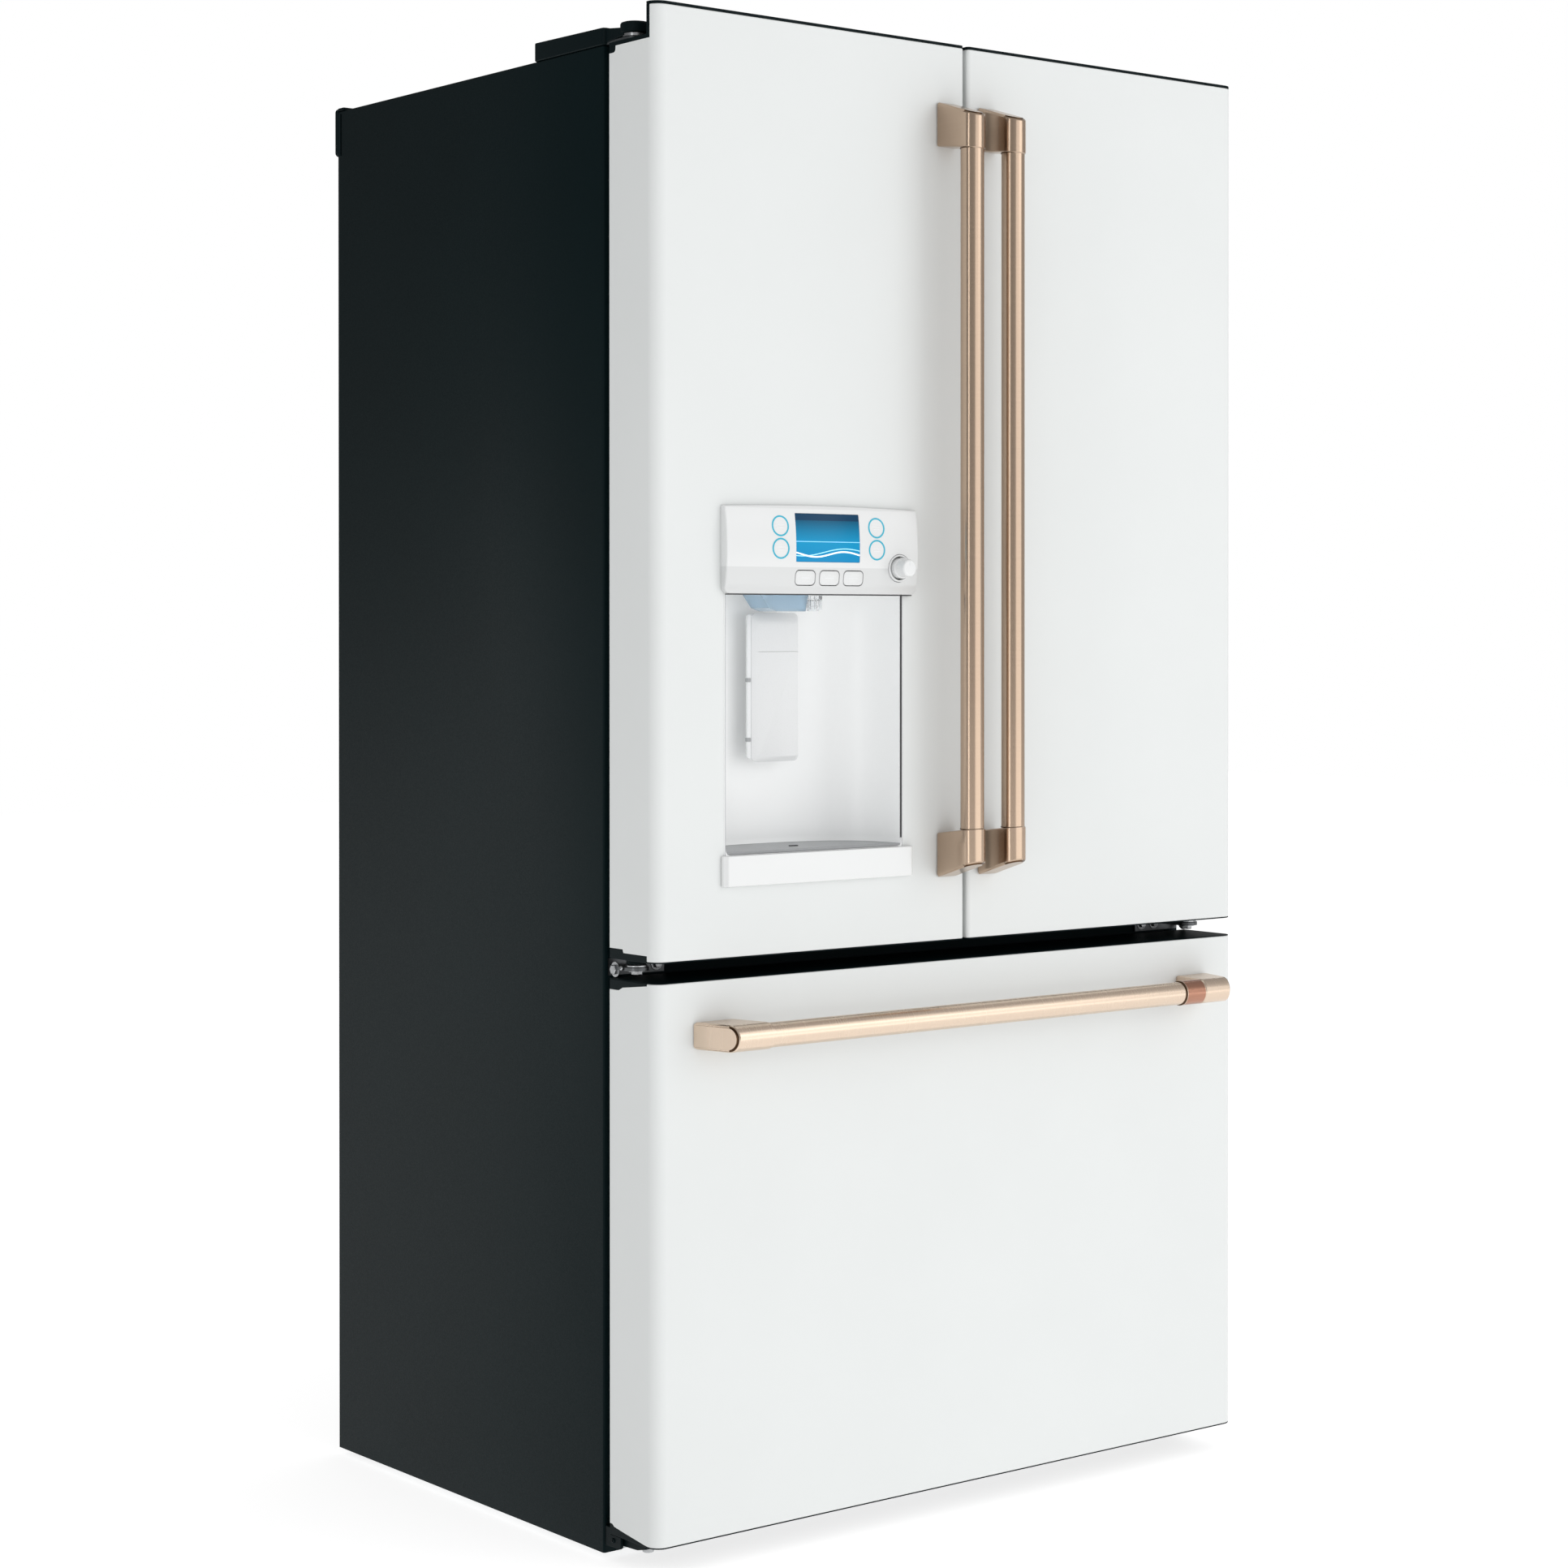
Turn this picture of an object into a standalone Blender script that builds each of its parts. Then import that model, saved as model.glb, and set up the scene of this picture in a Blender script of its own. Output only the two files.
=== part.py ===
"""French door refrigerator with a water and ice dispenser and a freezer drawer.

Metres, +Z up. x runs to the right across the front, y from the front to the back,
z up from the floor. The origin is on the floor under the middle of the whole object.
"""
import math

import bmesh
import bpy
from mathutils import Matrix

# Overall sizes
WIDTH = 0.908
HEIGHT = 1.775
CASE_DEPTH = 0.619
DOOR_DEPTH = 0.092
DOOR_GAP = 0.013
FLOOR_GAP = 0.008
CASE_DROP = 0.037
REAR_REACH = 0.008

# Fits
CLEAR = 0.0003
RUNNING = 0.0004
SHEET = 0.001
LINER = 0.002
PAST = 0.02

# Doors and drawer front
DRAWER_BOTTOM = 0.033
DRAWER_HEIGHT = 0.6373
MIDDLE_GAP = 0.0222
DOORS_APART = 0.006
CORNER_RADIUS = 0.016
FREE_EDGE_RADIUS = 0.005
END_CAP = 0.004
REAR_CAP_DEPTH = 0.028
DOOR_REAR_CAP = 0.0126
DRAWER_REAR_CAP = 0.013
NOTCH_DEPTH = 0.075
NOTCH_HEIGHT = 0.0405
NOTCH_WIDTH = 0.075
DYKE_CLEAR = 0.008
DYKE_REACH = 0.045
DYKE_WALL = 0.020
LEFT_DYKE_FREE = 0.085
RIGHT_DYKE_FREE = 0.057

# Gaskets
GASKET_WIDTH = 0.016
GASKET_REST = 0.0005
GASKET_HINGE_INSET = 0.022
GASKET_FREE_INSET = 0.012
GASKET_END_INSET = 0.006
DRAWER_GASKET_SIDE = 0.015
DRAWER_GASKET_BOTTOM = 0.040

# Hinges
PIN_INSET = 0.020
PIN_FORWARD = 0.025
PIN_RADIUS = 0.006
PIN_DEPTH = 0.022
HINGE_PLATE = 0.004
HINGE_HALF = 0.014
TOP_HINGE_WIDTH = 0.062
TOP_HINGE_LENGTH = 0.105
COVER_WIDTH = 0.100
COVER_LENGTH = 0.1485
COVER_HEIGHT = 0.022
COVER_WALL = 0.002
COVER_KNUCKLE = 0.0185
COVER_FRONT_WALL = 0.004
ARM_OVERLAP = 0.010
MIDDLE_HINGE_WIDTH = 0.075
MIDDLE_HINGE_INSET = 0.006
MIDDLE_HINGE_GAP = 0.0015
BORE_PAST = 0.002

# Cabinet
FLANGE = 0.025
FACE = 0.0025
FOAM_SIDE = 0.048
FOAM_TOP = 0.048
FOAM_BACK = 0.055
FREEZER_SIDE = 0.055
FREEZER_FLOOR = 0.050
RAIL_HALF = 0.028
RAIL_LIP = 0.010
BACK_SHEET = 0.0015
CORNER_CAP_WIDTH = 0.085
CORNER_CAP_HEIGHT = 0.062
CORNER_CAP_TOP = 0.004
CORNER_CAP_LIP = 0.014

# Base, legs and rollers
BASE_HEIGHT = 0.0565
BASE_WALL = 0.003
BASE_TOP_PLATE = 0.004
LEG_INSET = 0.044
LEG_BACK = 0.045
LEG_FOOT_RADIUS = 0.016
LEG_STUD_RADIUS = 0.005
LEG_SHELF_LOW = 0.020
LEG_SHELF_HIGH = 0.025
LEG_SHELF_REACH = 0.020
ROLLER_RADIUS = 0.018
ROLLER_HALF = 0.010
ROLLER_AXLE = 0.004
ROLLER_INSET = 0.058
ROLLER_FROM_BACK = 0.050
ROLLER_RIB = 0.006
ROLLER_SIDE_GAP = 0.0015
ROLLER_RIB_HALF = 0.012
EDGE = 0.001

# Machine compartment
MACHINE_HEIGHT = 0.205
MACHINE_DEPTH = 0.190
MACHINE_SIDE = 0.050
MACHINE_FOAM = 0.045
COMPRESSOR_RADIUS = 0.072
COMPRESSOR_INSET = 0.164
COMPRESSOR_ROUND = 0.035
COMPRESSOR_HEIGHT = 0.166
COMPRESSOR_FEET = (0.095, 0.055, 0.010)
FAN_RADIUS = 0.062
FAN_HUB = 0.018
FAN_DEPTH = 0.020
FAN_AWAY = 0.070
CONDENSER_INSET = 0.044
CONDENSER_WIDTH = 0.220
CONDENSER_HALF_DEPTH = 0.065
CONDENSER_DROP = 0.030
VENT_INSET = 0.044
VENT_INNER = 0.080
VENT_ROWS = 6
VENT_RISE = 0.045
VENT_PITCH = 0.022
VENT_HEIGHT = 0.008

# Shelves and drawers inside
SHELF_SETBACK = 0.130
SHELF_BACK_GAP = 0.010
SHELF_GLASS = 0.005
SHELF_TRIM = 0.018
SHELF_DROP = 0.400
TRIM_FORWARD = 0.004
TRIM_OVER = 0.006
LEDGE = 0.006
LEDGE_DROP = 0.010
CRISPER_HEIGHT = 0.200
CRISPER_WALL = 0.0025
CRISPER_GAP = 0.004
CRISPER_SETBACK = 0.008
BASKET_INSET = 0.022
BASKET_LOW = 0.045
BASKET_HEIGHT = 0.300
BASKET_WALL = 0.0025
SLIDE_HEIGHT = 0.040
SLIDE_THICK = 0.014
SLIDE_LEVEL = 0.185
SLIDE_SETBACK = 0.010
SLIDE_BACK_GAP = 0.016
SLIDE_SIDE_GAP = 0.003
SLIDE_LIP = 0.008
EVAPORATOR_DEPTH = 0.040
EVAPORATOR_HALF = 0.250
EVAPORATOR_GAP = 0.020
EVAPORATOR_DROP = 0.060
AIR_SLOTS = 8
AIR_SLOT_PITCH = 0.075
AIR_SLOT_WIDTH = 0.040
AIR_SLOT_HEIGHT = 0.015

# Mullion flap
FLAP_LEFT = 0.058
FLAP_RIGHT = 0.005
FLAP_PIVOT = 0.052
FLAP_THICK = 0.018
FLAP_END = 0.030
FLAP_PIN = 0.003
FLAP_PIN_REACH = 0.008
EAR_WALL = 0.006
EAR_GAP = 0.001
EAR_HEIGHT = 0.011

# Handles
BAR_RADIUS = 0.01425
BAR_AXIS = 0.050
BAR_FROM_GAP = 0.032
POST_WALL = 0.00125
POST_TOP_INSET = 0.0725
POST_BOTTOM_INSET = 0.0775
DOOR_POST_BASE = 0.0535
DOOR_POST_SLANT = 0.0195
DOOR_POST_SLEEVE = 0.008
DRAWER_BAR_DROP = 0.0617
DRAWER_POST_INSET = 0.0537
DRAWER_POST_BASE = 0.0498
DRAWER_POST_SLANT = 0.0173
DRAWER_POST_SLEEVE = 0.0185
BAR_IN_POST = 0.022

# Dispenser, measured from the left door's outer side and bottom
DISPENSER_INSET = 0.090
PANEL_WIDTH = 0.280
PANEL_HEIGHT = 0.103
PANEL_PROUD = 0.012
PANEL_EDGE = 0.007
PANEL_BACK = 0.005
WELL_INSET = 0.0965
WELL_WIDTH = 0.2575
WELL_RISE = 0.1178
WELL_HEIGHT = 0.2992
WELL_DEPTH = 0.106
WELL_SIDE = 0.012
WELL_ROUNDNESS = 2.5
SILL_HEIGHT = 0.0353
SILL_PROUD = 0.010
SILL_WIDTH = 0.277
BULGE_MARGIN = 0.030
BULGE_OVER_WELL = 0.018
SCREEN_INSET = 0.0987
SCREEN_WIDTH = 0.0929
SCREEN_RISE = 0.0375
SCREEN_HEIGHT = 0.056
DIAL_INSET = 0.2515
DIAL_RISE = 0.0315
DIAL_RING = 0.016
DIAL_RADIUS = 0.012
DIAL_REACH = 0.032
DIAL_EDGE = 0.002
KEY_INSET = 0.1128
KEY_PITCH = 0.0352
KEY_COUNT = 3
KEY_RISE = 0.0189
KEY_WIDTH = 0.029
KEY_HEIGHT = 0.0175
KEY_PROUD = 0.0005
KEY_BACK = 0.0045
KEY_TRAVEL = 0.001
PADDLE_WIDTH = 0.069
PADDLE_FRONT = 0.076
PADDLE_THICK = 0.005
PADDLE_RISE = 0.1017
PADDLE_HEIGHT = 0.176
PADDLE_PIVOT_DROP = 0.018
CHUTE_WIDTH = 0.115
CHUTE_HEIGHT = 0.0195
CHUTE_FRONT = 0.030
CHUTE_DEPTH = 0.036
CHUTE_WALL = 0.003
CHUTE_SLOPE = 0.012
TRAY_THICK = 0.003
TRAY_GAP = 0.001

ROUND_STEPS = 32
CORNER_STEPS = 6
WELL_STEPS = 18

# Places worked out from the sizes
HALF = WIDTH / 2
POST_HALF = BAR_RADIUS + POST_WALL
HANDLE_REACH = BAR_AXIS + POST_HALF
DEPTH = HANDLE_REACH + DOOR_DEPTH + DOOR_GAP + CASE_DEPTH + REAR_REACH
FRONT = HANDLE_REACH - DEPTH / 2
DOOR_BACK = FRONT + DOOR_DEPTH
CASE_FRONT = DOOR_BACK + DOOR_GAP
CASE_BACK = CASE_FRONT + CASE_DEPTH
CASE_BOTTOM = FLOOR_GAP
CASE_TOP = HEIGHT - CASE_DROP
DRAWER_TOP = DRAWER_BOTTOM + DRAWER_HEIGHT
DOOR_BOTTOM = DRAWER_TOP + MIDDLE_GAP
NOTCH_FLOOR = HEIGHT - NOTCH_HEIGHT
PIN_X = HALF - PIN_INSET
PIN_Y = DOOR_BACK - PIN_FORWARD
BASE_TOP = CASE_BOTTOM + BASE_HEIGHT
INNER_HALF = HALF - SHEET - CLEAR
FACE_HALF = HALF - FLANGE - CLEAR
RAIL_MIDDLE = (DRAWER_TOP + DOOR_BOTTOM) / 2
RAIL_TOP = RAIL_MIDDLE + RAIL_HALF
RAIL_BOTTOM = RAIL_MIDDLE - RAIL_HALF
FRESH_HALF = HALF - FOAM_SIDE
DYKE_INSET = FOAM_SIDE + LINER + DYKE_CLEAR
FRESH_BOTTOM = RAIL_TOP + RAIL_LIP
FRESH_TOP = CASE_TOP - FOAM_TOP
FRESH_BACK = CASE_BACK - FOAM_BACK
FREEZER_HALF = HALF - FREEZER_SIDE
FREEZER_BOTTOM = BASE_TOP + CLEAR + FREEZER_FLOOR
FREEZER_TOP = RAIL_BOTTOM - RAIL_LIP
MACHINE_TOP = BASE_TOP + MACHINE_HEIGHT
MACHINE_FRONT = CASE_BACK - MACHINE_DEPTH
MACHINE_HALF = HALF - MACHINE_SIDE
MACHINE_MIDDLE = CASE_BACK - MACHINE_DEPTH / 2
CONDENSER_LEFT = -MACHINE_HALF + CONDENSER_INSET
CONDENSER_RIGHT = CONDENSER_LEFT + CONDENSER_WIDTH
FAN_X = CONDENSER_RIGHT + FAN_AWAY
STEP_Y = MACHINE_FRONT - MACHINE_FOAM
STEP_Z = MACHINE_TOP + MACHINE_FOAM
SHELF_FRONT = CASE_FRONT + SHELF_SETBACK
SHELF_BACK = FRESH_BACK - LINER - SHELF_BACK_GAP
SHELF_LEVEL = FRESH_TOP - SHELF_DROP
CRISPER_BOTTOM = FRESH_BOTTOM + LINER + CRISPER_GAP
CRISPER_COVER_LEVEL = CRISPER_BOTTOM + CRISPER_HEIGHT + CRISPER_GAP
GASKET_BACK = CASE_FRONT - GASKET_REST
GASKET_TOP = NOTCH_FLOOR - GASKET_END_INSET
DYKE_BOTTOM = FRESH_BOTTOM + LINER + DYKE_CLEAR
DYKE_TOP = FRESH_TOP - LINER - DYKE_CLEAR
FLAP_BOTTOM = DYKE_BOTTOM + FLAP_END
FLAP_TOP = DYKE_TOP - FLAP_END
FLAP_FRONT = CASE_FRONT + GASKET_REST
FLAP_PIVOT_Y = FLAP_FRONT + FLAP_THICK / 2
LEFT_SIDE = -HALF
WELL_X = LEFT_SIDE + WELL_INSET + WELL_WIDTH / 2
WELL_BOTTOM = DOOR_BOTTOM + WELL_RISE
WELL_TOP = WELL_BOTTOM + WELL_HEIGHT
PANEL_LEFT = LEFT_SIDE + DISPENSER_INSET
PANEL_MIDDLE = WELL_TOP + PANEL_HEIGHT / 2
PADDLE_PIVOT_Z = WELL_TOP - PADDLE_PIVOT_DROP
PADDLE_PIVOT_Y = FRONT + PADDLE_FRONT + PADDLE_THICK / 2

AXES = {"X": (1, 2, 0), "Y": (0, 2, 1), "Z": (0, 1, 2)}

PAINTS = {
    "slate": ((0.016, 0.023, 0.027), 0.45, 0.2),
    "white_steel": ((0.80, 0.82, 0.81), 0.45, 0.0),
    "white_plastic": ((0.82, 0.83, 0.83), 0.25, 0.0),
    "liner_white": ((0.86, 0.87, 0.88), 0.35, 0.0),
    "black_plastic": ((0.012, 0.013, 0.014), 0.5, 0.0),
    "grey_rubber": ((0.20, 0.21, 0.21), 0.8, 0.0),
    "bronze": ((0.48, 0.34, 0.23), 0.3, 1.0),
    "steel": ((0.45, 0.46, 0.47), 0.35, 1.0),
    "galvanised": ((0.40, 0.42, 0.43), 0.5, 0.9),
    "glass": ((0.75, 0.85, 0.85), 0.05, 0.0),
    "display": ((0.05, 0.30, 0.55), 0.15, 0.0),
    "clear_plastic": ((0.80, 0.85, 0.88), 0.2, 0.0),
    "grey_plastic": ((0.30, 0.31, 0.32), 0.45, 0.0),
    "foam": ((0.75, 0.68, 0.50), 0.9, 0.0),
}


def clear_scene():
    for obj in list(bpy.data.objects):
        bpy.data.objects.remove(obj, do_unlink=True)


def add_object(name, bm):
    bmesh.ops.recalc_face_normals(bm, faces=bm.faces)
    mesh = bpy.data.meshes.new(name)
    bm.to_mesh(mesh)
    bm.free()
    obj = bpy.data.objects.new(name, mesh)
    bpy.context.scene.collection.objects.link(obj)
    return obj


def bridge(bm, lower, upper):
    count = len(lower)
    for index in range(count):
        following = (index + 1) % count
        bm.faces.new((lower[index], lower[following], upper[following], upper[index]))


def prism(name, outline, axis, low, high):
    """Extrude an outline, given in the two other axes, along one axis."""
    across, up, along = AXES[axis]
    bm = bmesh.new()
    rings = []
    for level in (low, high):
        ring = []
        for first, second in outline:
            point = [0.0, 0.0, 0.0]
            point[across] = first
            point[up] = second
            point[along] = level
            ring.append(bm.verts.new(point))
        rings.append(ring)
        bm.faces.new(ring)
    bridge(bm, *rings)
    return add_object(name, bm)


def block(name, low, high):
    outline = [(low[0], low[1]), (high[0], low[1]), (high[0], high[1]), (low[0], high[1])]
    return prism(name, outline, "Z", low[2], high[2])


def lathe(name, profile, centre, axis, steps=ROUND_STEPS):
    """Turn (radius, distance along the axis) points about an axis through the centre."""
    across, up, along = AXES[axis]
    bm = bmesh.new()
    rings = []
    for radius, distance in profile:
        ring = []
        for step in range(steps):
            angle = 2 * math.pi * step / steps
            point = list(centre)
            point[across] += radius * math.cos(angle)
            point[up] += radius * math.sin(angle)
            point[along] += distance
            ring.append(bm.verts.new(point))
        rings.append(ring)
    bm.faces.new(rings[0])
    bm.faces.new(rings[-1])
    for lower, upper in zip(rings, rings[1:]):
        bridge(bm, lower, upper)
    obj = add_object(name, bm)
    obj.data.shade_smooth()
    obj.data.set_sharp_from_angle(angle=math.radians(35))
    return obj


def rod(name, radius, axis, centre, low, high, steps=ROUND_STEPS):
    return lathe(name, [(radius, low), (radius, high)], centre, axis, steps)


def combine(target, operation, others):
    for other in others:
        modifier = target.modifiers.new(other.name, "BOOLEAN")
        modifier.operation = operation
        modifier.object = other
        other.hide_render = True
        other.display_type = "WIRE"
    return target


def cut(target, *others):
    return combine(target, "DIFFERENCE", others)


def fuse(target, *others):
    return combine(target, "UNION", others)


def paint(obj, name):
    colour, roughness, metallic = PAINTS[name]
    material = bpy.data.materials.new(obj.name)
    material.use_nodes = True
    shader = material.node_tree.nodes["Principled BSDF"]
    shader.inputs["Base Color"].default_value = (*colour, 1.0)
    shader.inputs["Roughness"].default_value = roughness
    shader.inputs["Metallic"].default_value = metallic
    obj.data.materials.clear()
    obj.data.materials.append(material)
    return obj


def joint_empty(name, place):
    empty = bpy.data.objects.new(name, None)
    empty.location = place
    bpy.context.scene.collection.objects.link(empty)
    return empty


def hang_on(empty, pieces):
    """Parent pieces to a joint's empty and keep them where they are."""
    for piece in pieces:
        piece.parent = empty
        piece.matrix_parent_inverse = Matrix.Translation(empty.location).inverted()


def arc(centre_x, centre_y, radius, start, end, steps):
    points = []
    for step in range(steps + 1):
        angle = math.radians(start + (end - start) * step / steps)
        points.append((centre_x + radius * math.cos(angle), centre_y + radius * math.sin(angle)))
    return points


def side_name(side):
    return "left" if side < 0 else "right"


# ---------------------------------------------------------------- cabinet

def outer_wrapper():
    shell = block("outer_wrapper", (-HALF, CASE_FRONT, CASE_BOTTOM), (HALF, CASE_BACK, CASE_TOP))
    inner = block(
        "wrapper_inside",
        (-HALF + SHEET, CASE_FRONT + SHEET, CASE_BOTTOM - PAST),
        (HALF - SHEET, CASE_BACK + PAST, CASE_TOP - SHEET),
    )
    mouth = block(
        "wrapper_mouth",
        (-HALF + FLANGE, CASE_FRONT - PAST, CASE_BOTTOM - PAST),
        (HALF - FLANGE, CASE_FRONT + PAST, CASE_TOP - FLANGE),
    )
    return paint(cut(shell, inner, mouth), "slate")


def freezer_outline(grow, front):
    """Side view of the freezer space, which steps up over the machine compartment."""
    return [
        (front, FREEZER_BOTTOM - grow),
        (STEP_Y + grow, FREEZER_BOTTOM - grow),
        (STEP_Y + grow, STEP_Z - grow),
        (FRESH_BACK + grow, STEP_Z - grow),
        (FRESH_BACK + grow, FREEZER_TOP + grow),
        (front, FREEZER_TOP + grow),
    ]


def freezer_prism(name, grow, front):
    return prism(name, freezer_outline(grow, front), "X", -FREEZER_HALF - grow, FREEZER_HALF + grow)


def fresh_block(name, grow, front):
    return block(
        name,
        (-FRESH_HALF - grow, front, FRESH_BOTTOM - grow),
        (FRESH_HALF + grow, FRESH_BACK + grow, FRESH_TOP + grow),
    )


def cabinet_foam():
    foam = block(
        "cabinet_foam",
        (-INNER_HALF, CASE_FRONT + FACE + CLEAR, BASE_TOP + CLEAR),
        (INNER_HALF, CASE_BACK - BACK_SHEET - CLEAR, CASE_TOP - SHEET - CLEAR),
    )
    fresh = fresh_block("foam_fresh_space", CLEAR, CASE_FRONT - PAST)
    freezer = freezer_prism("foam_freezer_space", CLEAR, CASE_FRONT - PAST)
    machine = block(
        "foam_machine_space",
        (-MACHINE_HALF, MACHINE_FRONT, BASE_TOP - PAST),
        (MACHINE_HALF, CASE_BACK + PAST, MACHINE_TOP),
    )
    return paint(cut(foam, fresh, freezer, machine), "foam")


def ledge(name, side, front, back, top):
    wall = side * (FRESH_HALF - LINER / 2)
    lip = side * (FRESH_HALF - LINER - LEDGE)
    return block(
        name,
        (min(wall, lip), front, top - LEDGE_DROP),
        (max(wall, lip), back, top - CLEAR),
    )


def fresh_food_liner():
    liner = fresh_block("fresh_food_liner", 0.0, CASE_FRONT)
    face = block(
        "fresh_liner_face",
        (-FACE_HALF, CASE_FRONT, RAIL_TOP + CLEAR),
        (FACE_HALF, CASE_FRONT + FACE, CASE_TOP - FLANGE - CLEAR),
    )
    fuse(liner, face)
    cut(liner, fresh_block("fresh_liner_inside", -LINER, CASE_FRONT - PAST))
    for side in (-1, 1):
        for label, level in (("shelf", SHELF_LEVEL), ("crisper", CRISPER_COVER_LEVEL)):
            name = f"{label}_ledge_{side_name(side)}"
            fuse(liner, ledge(name, side, SHELF_FRONT, SHELF_BACK, level))
    return paint(liner, "liner_white")


def freezer_liner():
    liner = freezer_prism("freezer_liner", 0.0, CASE_FRONT)
    face = block(
        "freezer_liner_face",
        (-FACE_HALF, CASE_FRONT, BASE_TOP + CLEAR),
        (FACE_HALF, CASE_FRONT + FACE, RAIL_BOTTOM - CLEAR),
    )
    fuse(liner, face)
    cut(liner, freezer_prism("freezer_liner_inside", -LINER, CASE_FRONT - PAST))
    inner = FREEZER_HALF - LINER
    for side in (-1, 1):
        edges = sorted((side * (inner + LINER / 2), side * (inner - SLIDE_THICK)))
        rail = block(
            f"liner_rail_{side_name(side)}",
            (edges[0], slide_front(), slide_bottom() - LEDGE_DROP),
            (edges[1], slide_back(), slide_bottom() - CLEAR),
        )
        fuse(liner, rail)
    return paint(liner, "liner_white")


def center_rail():
    rail = block(
        "center_rail",
        (-FACE_HALF, CASE_FRONT, RAIL_BOTTOM),
        (FACE_HALF, CASE_FRONT + FACE, RAIL_TOP),
    )
    return paint(rail, "slate")


def back_panel():
    panel = block(
        "back_panel",
        (-INNER_HALF, CASE_BACK - BACK_SHEET, MACHINE_TOP + CLEAR),
        (INNER_HALF, CASE_BACK, CASE_TOP - SHEET - CLEAR),
    )
    for side in (-1, 1):
        outer = sorted((side * HALF, side * (HALF - CORNER_CAP_WIDTH)))
        inner = sorted((side * (INNER_HALF - SHEET), side * (HALF - CORNER_CAP_WIDTH + SHEET)))
        label = side_name(side)
        cap = block(
            f"corner_cap_{label}",
            (outer[0], CASE_BACK + CLEAR, CASE_TOP + CORNER_CAP_TOP - CORNER_CAP_HEIGHT),
            (outer[1], CASE_BACK + REAR_REACH, CASE_TOP + CORNER_CAP_TOP),
        )
        lip = block(
            f"corner_lip_{label}",
            (outer[0], CASE_BACK - CORNER_CAP_LIP, CASE_TOP + CLEAR),
            (outer[1], CASE_BACK + REAR_REACH / 2, CASE_TOP + CORNER_CAP_TOP),
        )
        root = block(
            f"corner_root_{label}",
            (inner[0], CASE_BACK - BACK_SHEET / 2, CASE_TOP - CORNER_CAP_HEIGHT / 2),
            (inner[1], CASE_BACK + REAR_REACH / 2, CASE_TOP - SHEET - 2 * CLEAR),
        )
        fuse(panel, root, cap, lip)
    return paint(panel, "slate")


def roller_place(side):
    return (side * (HALF - ROLLER_INSET), CASE_BACK - ROLLER_FROM_BACK, ROLLER_RADIUS)


def leg_place(side):
    return (side * (HALF - LEG_INSET), CASE_FRONT + LEG_BACK, 0.0)


def base_frame():
    frame = block(
        "base_frame",
        (-INNER_HALF, CASE_FRONT + FACE + CLEAR, CASE_BOTTOM),
        (INNER_HALF, CASE_BACK - BACK_SHEET, BASE_TOP),
    )
    inside = block(
        "base_inside",
        (-INNER_HALF + BASE_WALL, CASE_FRONT + FACE + CLEAR + BASE_WALL, CASE_BOTTOM - PAST),
        (INNER_HALF - BASE_WALL, CASE_BACK - BACK_SHEET - BASE_WALL, BASE_TOP - BASE_TOP_PLATE),
    )
    cut(frame, inside)
    for side in (-1, 1):
        label = side_name(side)
        leg_x, leg_y, _ = leg_place(side)
        wall = side * (INNER_HALF - BASE_WALL / 2)
        reach = sorted((wall, leg_x - side * LEG_SHELF_REACH))
        shelf = block(
            f"leg_shelf_{label}",
            (reach[0], CASE_FRONT + FACE + BASE_WALL / 2, LEG_SHELF_LOW),
            (reach[1], leg_y + LEG_SHELF_REACH, LEG_SHELF_HIGH),
        )
        hole = rod(
            f"leg_hole_{label}", LEG_STUD_RADIUS + RUNNING, "Z", (leg_x, leg_y, 0.0),
            LEG_SHELF_LOW - 0.005, LEG_SHELF_HIGH + 0.005,
        )
        fuse(frame, shelf)
        cut(frame, hole)
        centre = roller_place(side)
        for end in (-1, 1):
            near = centre[0] + end * (ROLLER_HALF + ROLLER_SIDE_GAP)
            ends = sorted((near, near + end * ROLLER_RIB))
            rib = block(
                f"roller_rib_{label}_{end + 1}",
                (ends[0], centre[1] - ROLLER_RIB_HALF, CASE_BOTTOM + LINER),
                (ends[1], centre[1] + ROLLER_RIB_HALF, BASE_TOP - BASE_TOP_PLATE / 2),
            )
            fuse(frame, rib)
        bore_half = ROLLER_HALF + ROLLER_RIB + 2 * ROLLER_SIDE_GAP
        bore = rod(f"roller_bore_{label}", ROLLER_AXLE + RUNNING, "X", centre, -bore_half, bore_half)
        cut(frame, bore)
    return paint(frame, "galvanised")


def leveling_leg(side):
    profile = [
        (LEG_FOOT_RADIUS - EDGE, 0.0),
        (LEG_FOOT_RADIUS, 0.002),
        (LEG_FOOT_RADIUS, 0.007),
        (LEG_STUD_RADIUS + 0.004, 0.009),
        (LEG_STUD_RADIUS + 0.004, LEG_SHELF_LOW - 0.002),
        (LEG_STUD_RADIUS, LEG_SHELF_LOW - 0.001),
        (LEG_STUD_RADIUS, BASE_TOP - BASE_TOP_PLATE - 0.010),
    ]
    place = leg_place(side)
    leg = lathe(f"leveling_leg_{side_name(side)}", profile, place, "Z", 24)
    hang_on(joint_empty(f"leg_axis_{side_name(side)}", place), [paint(leg, "steel")])


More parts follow.
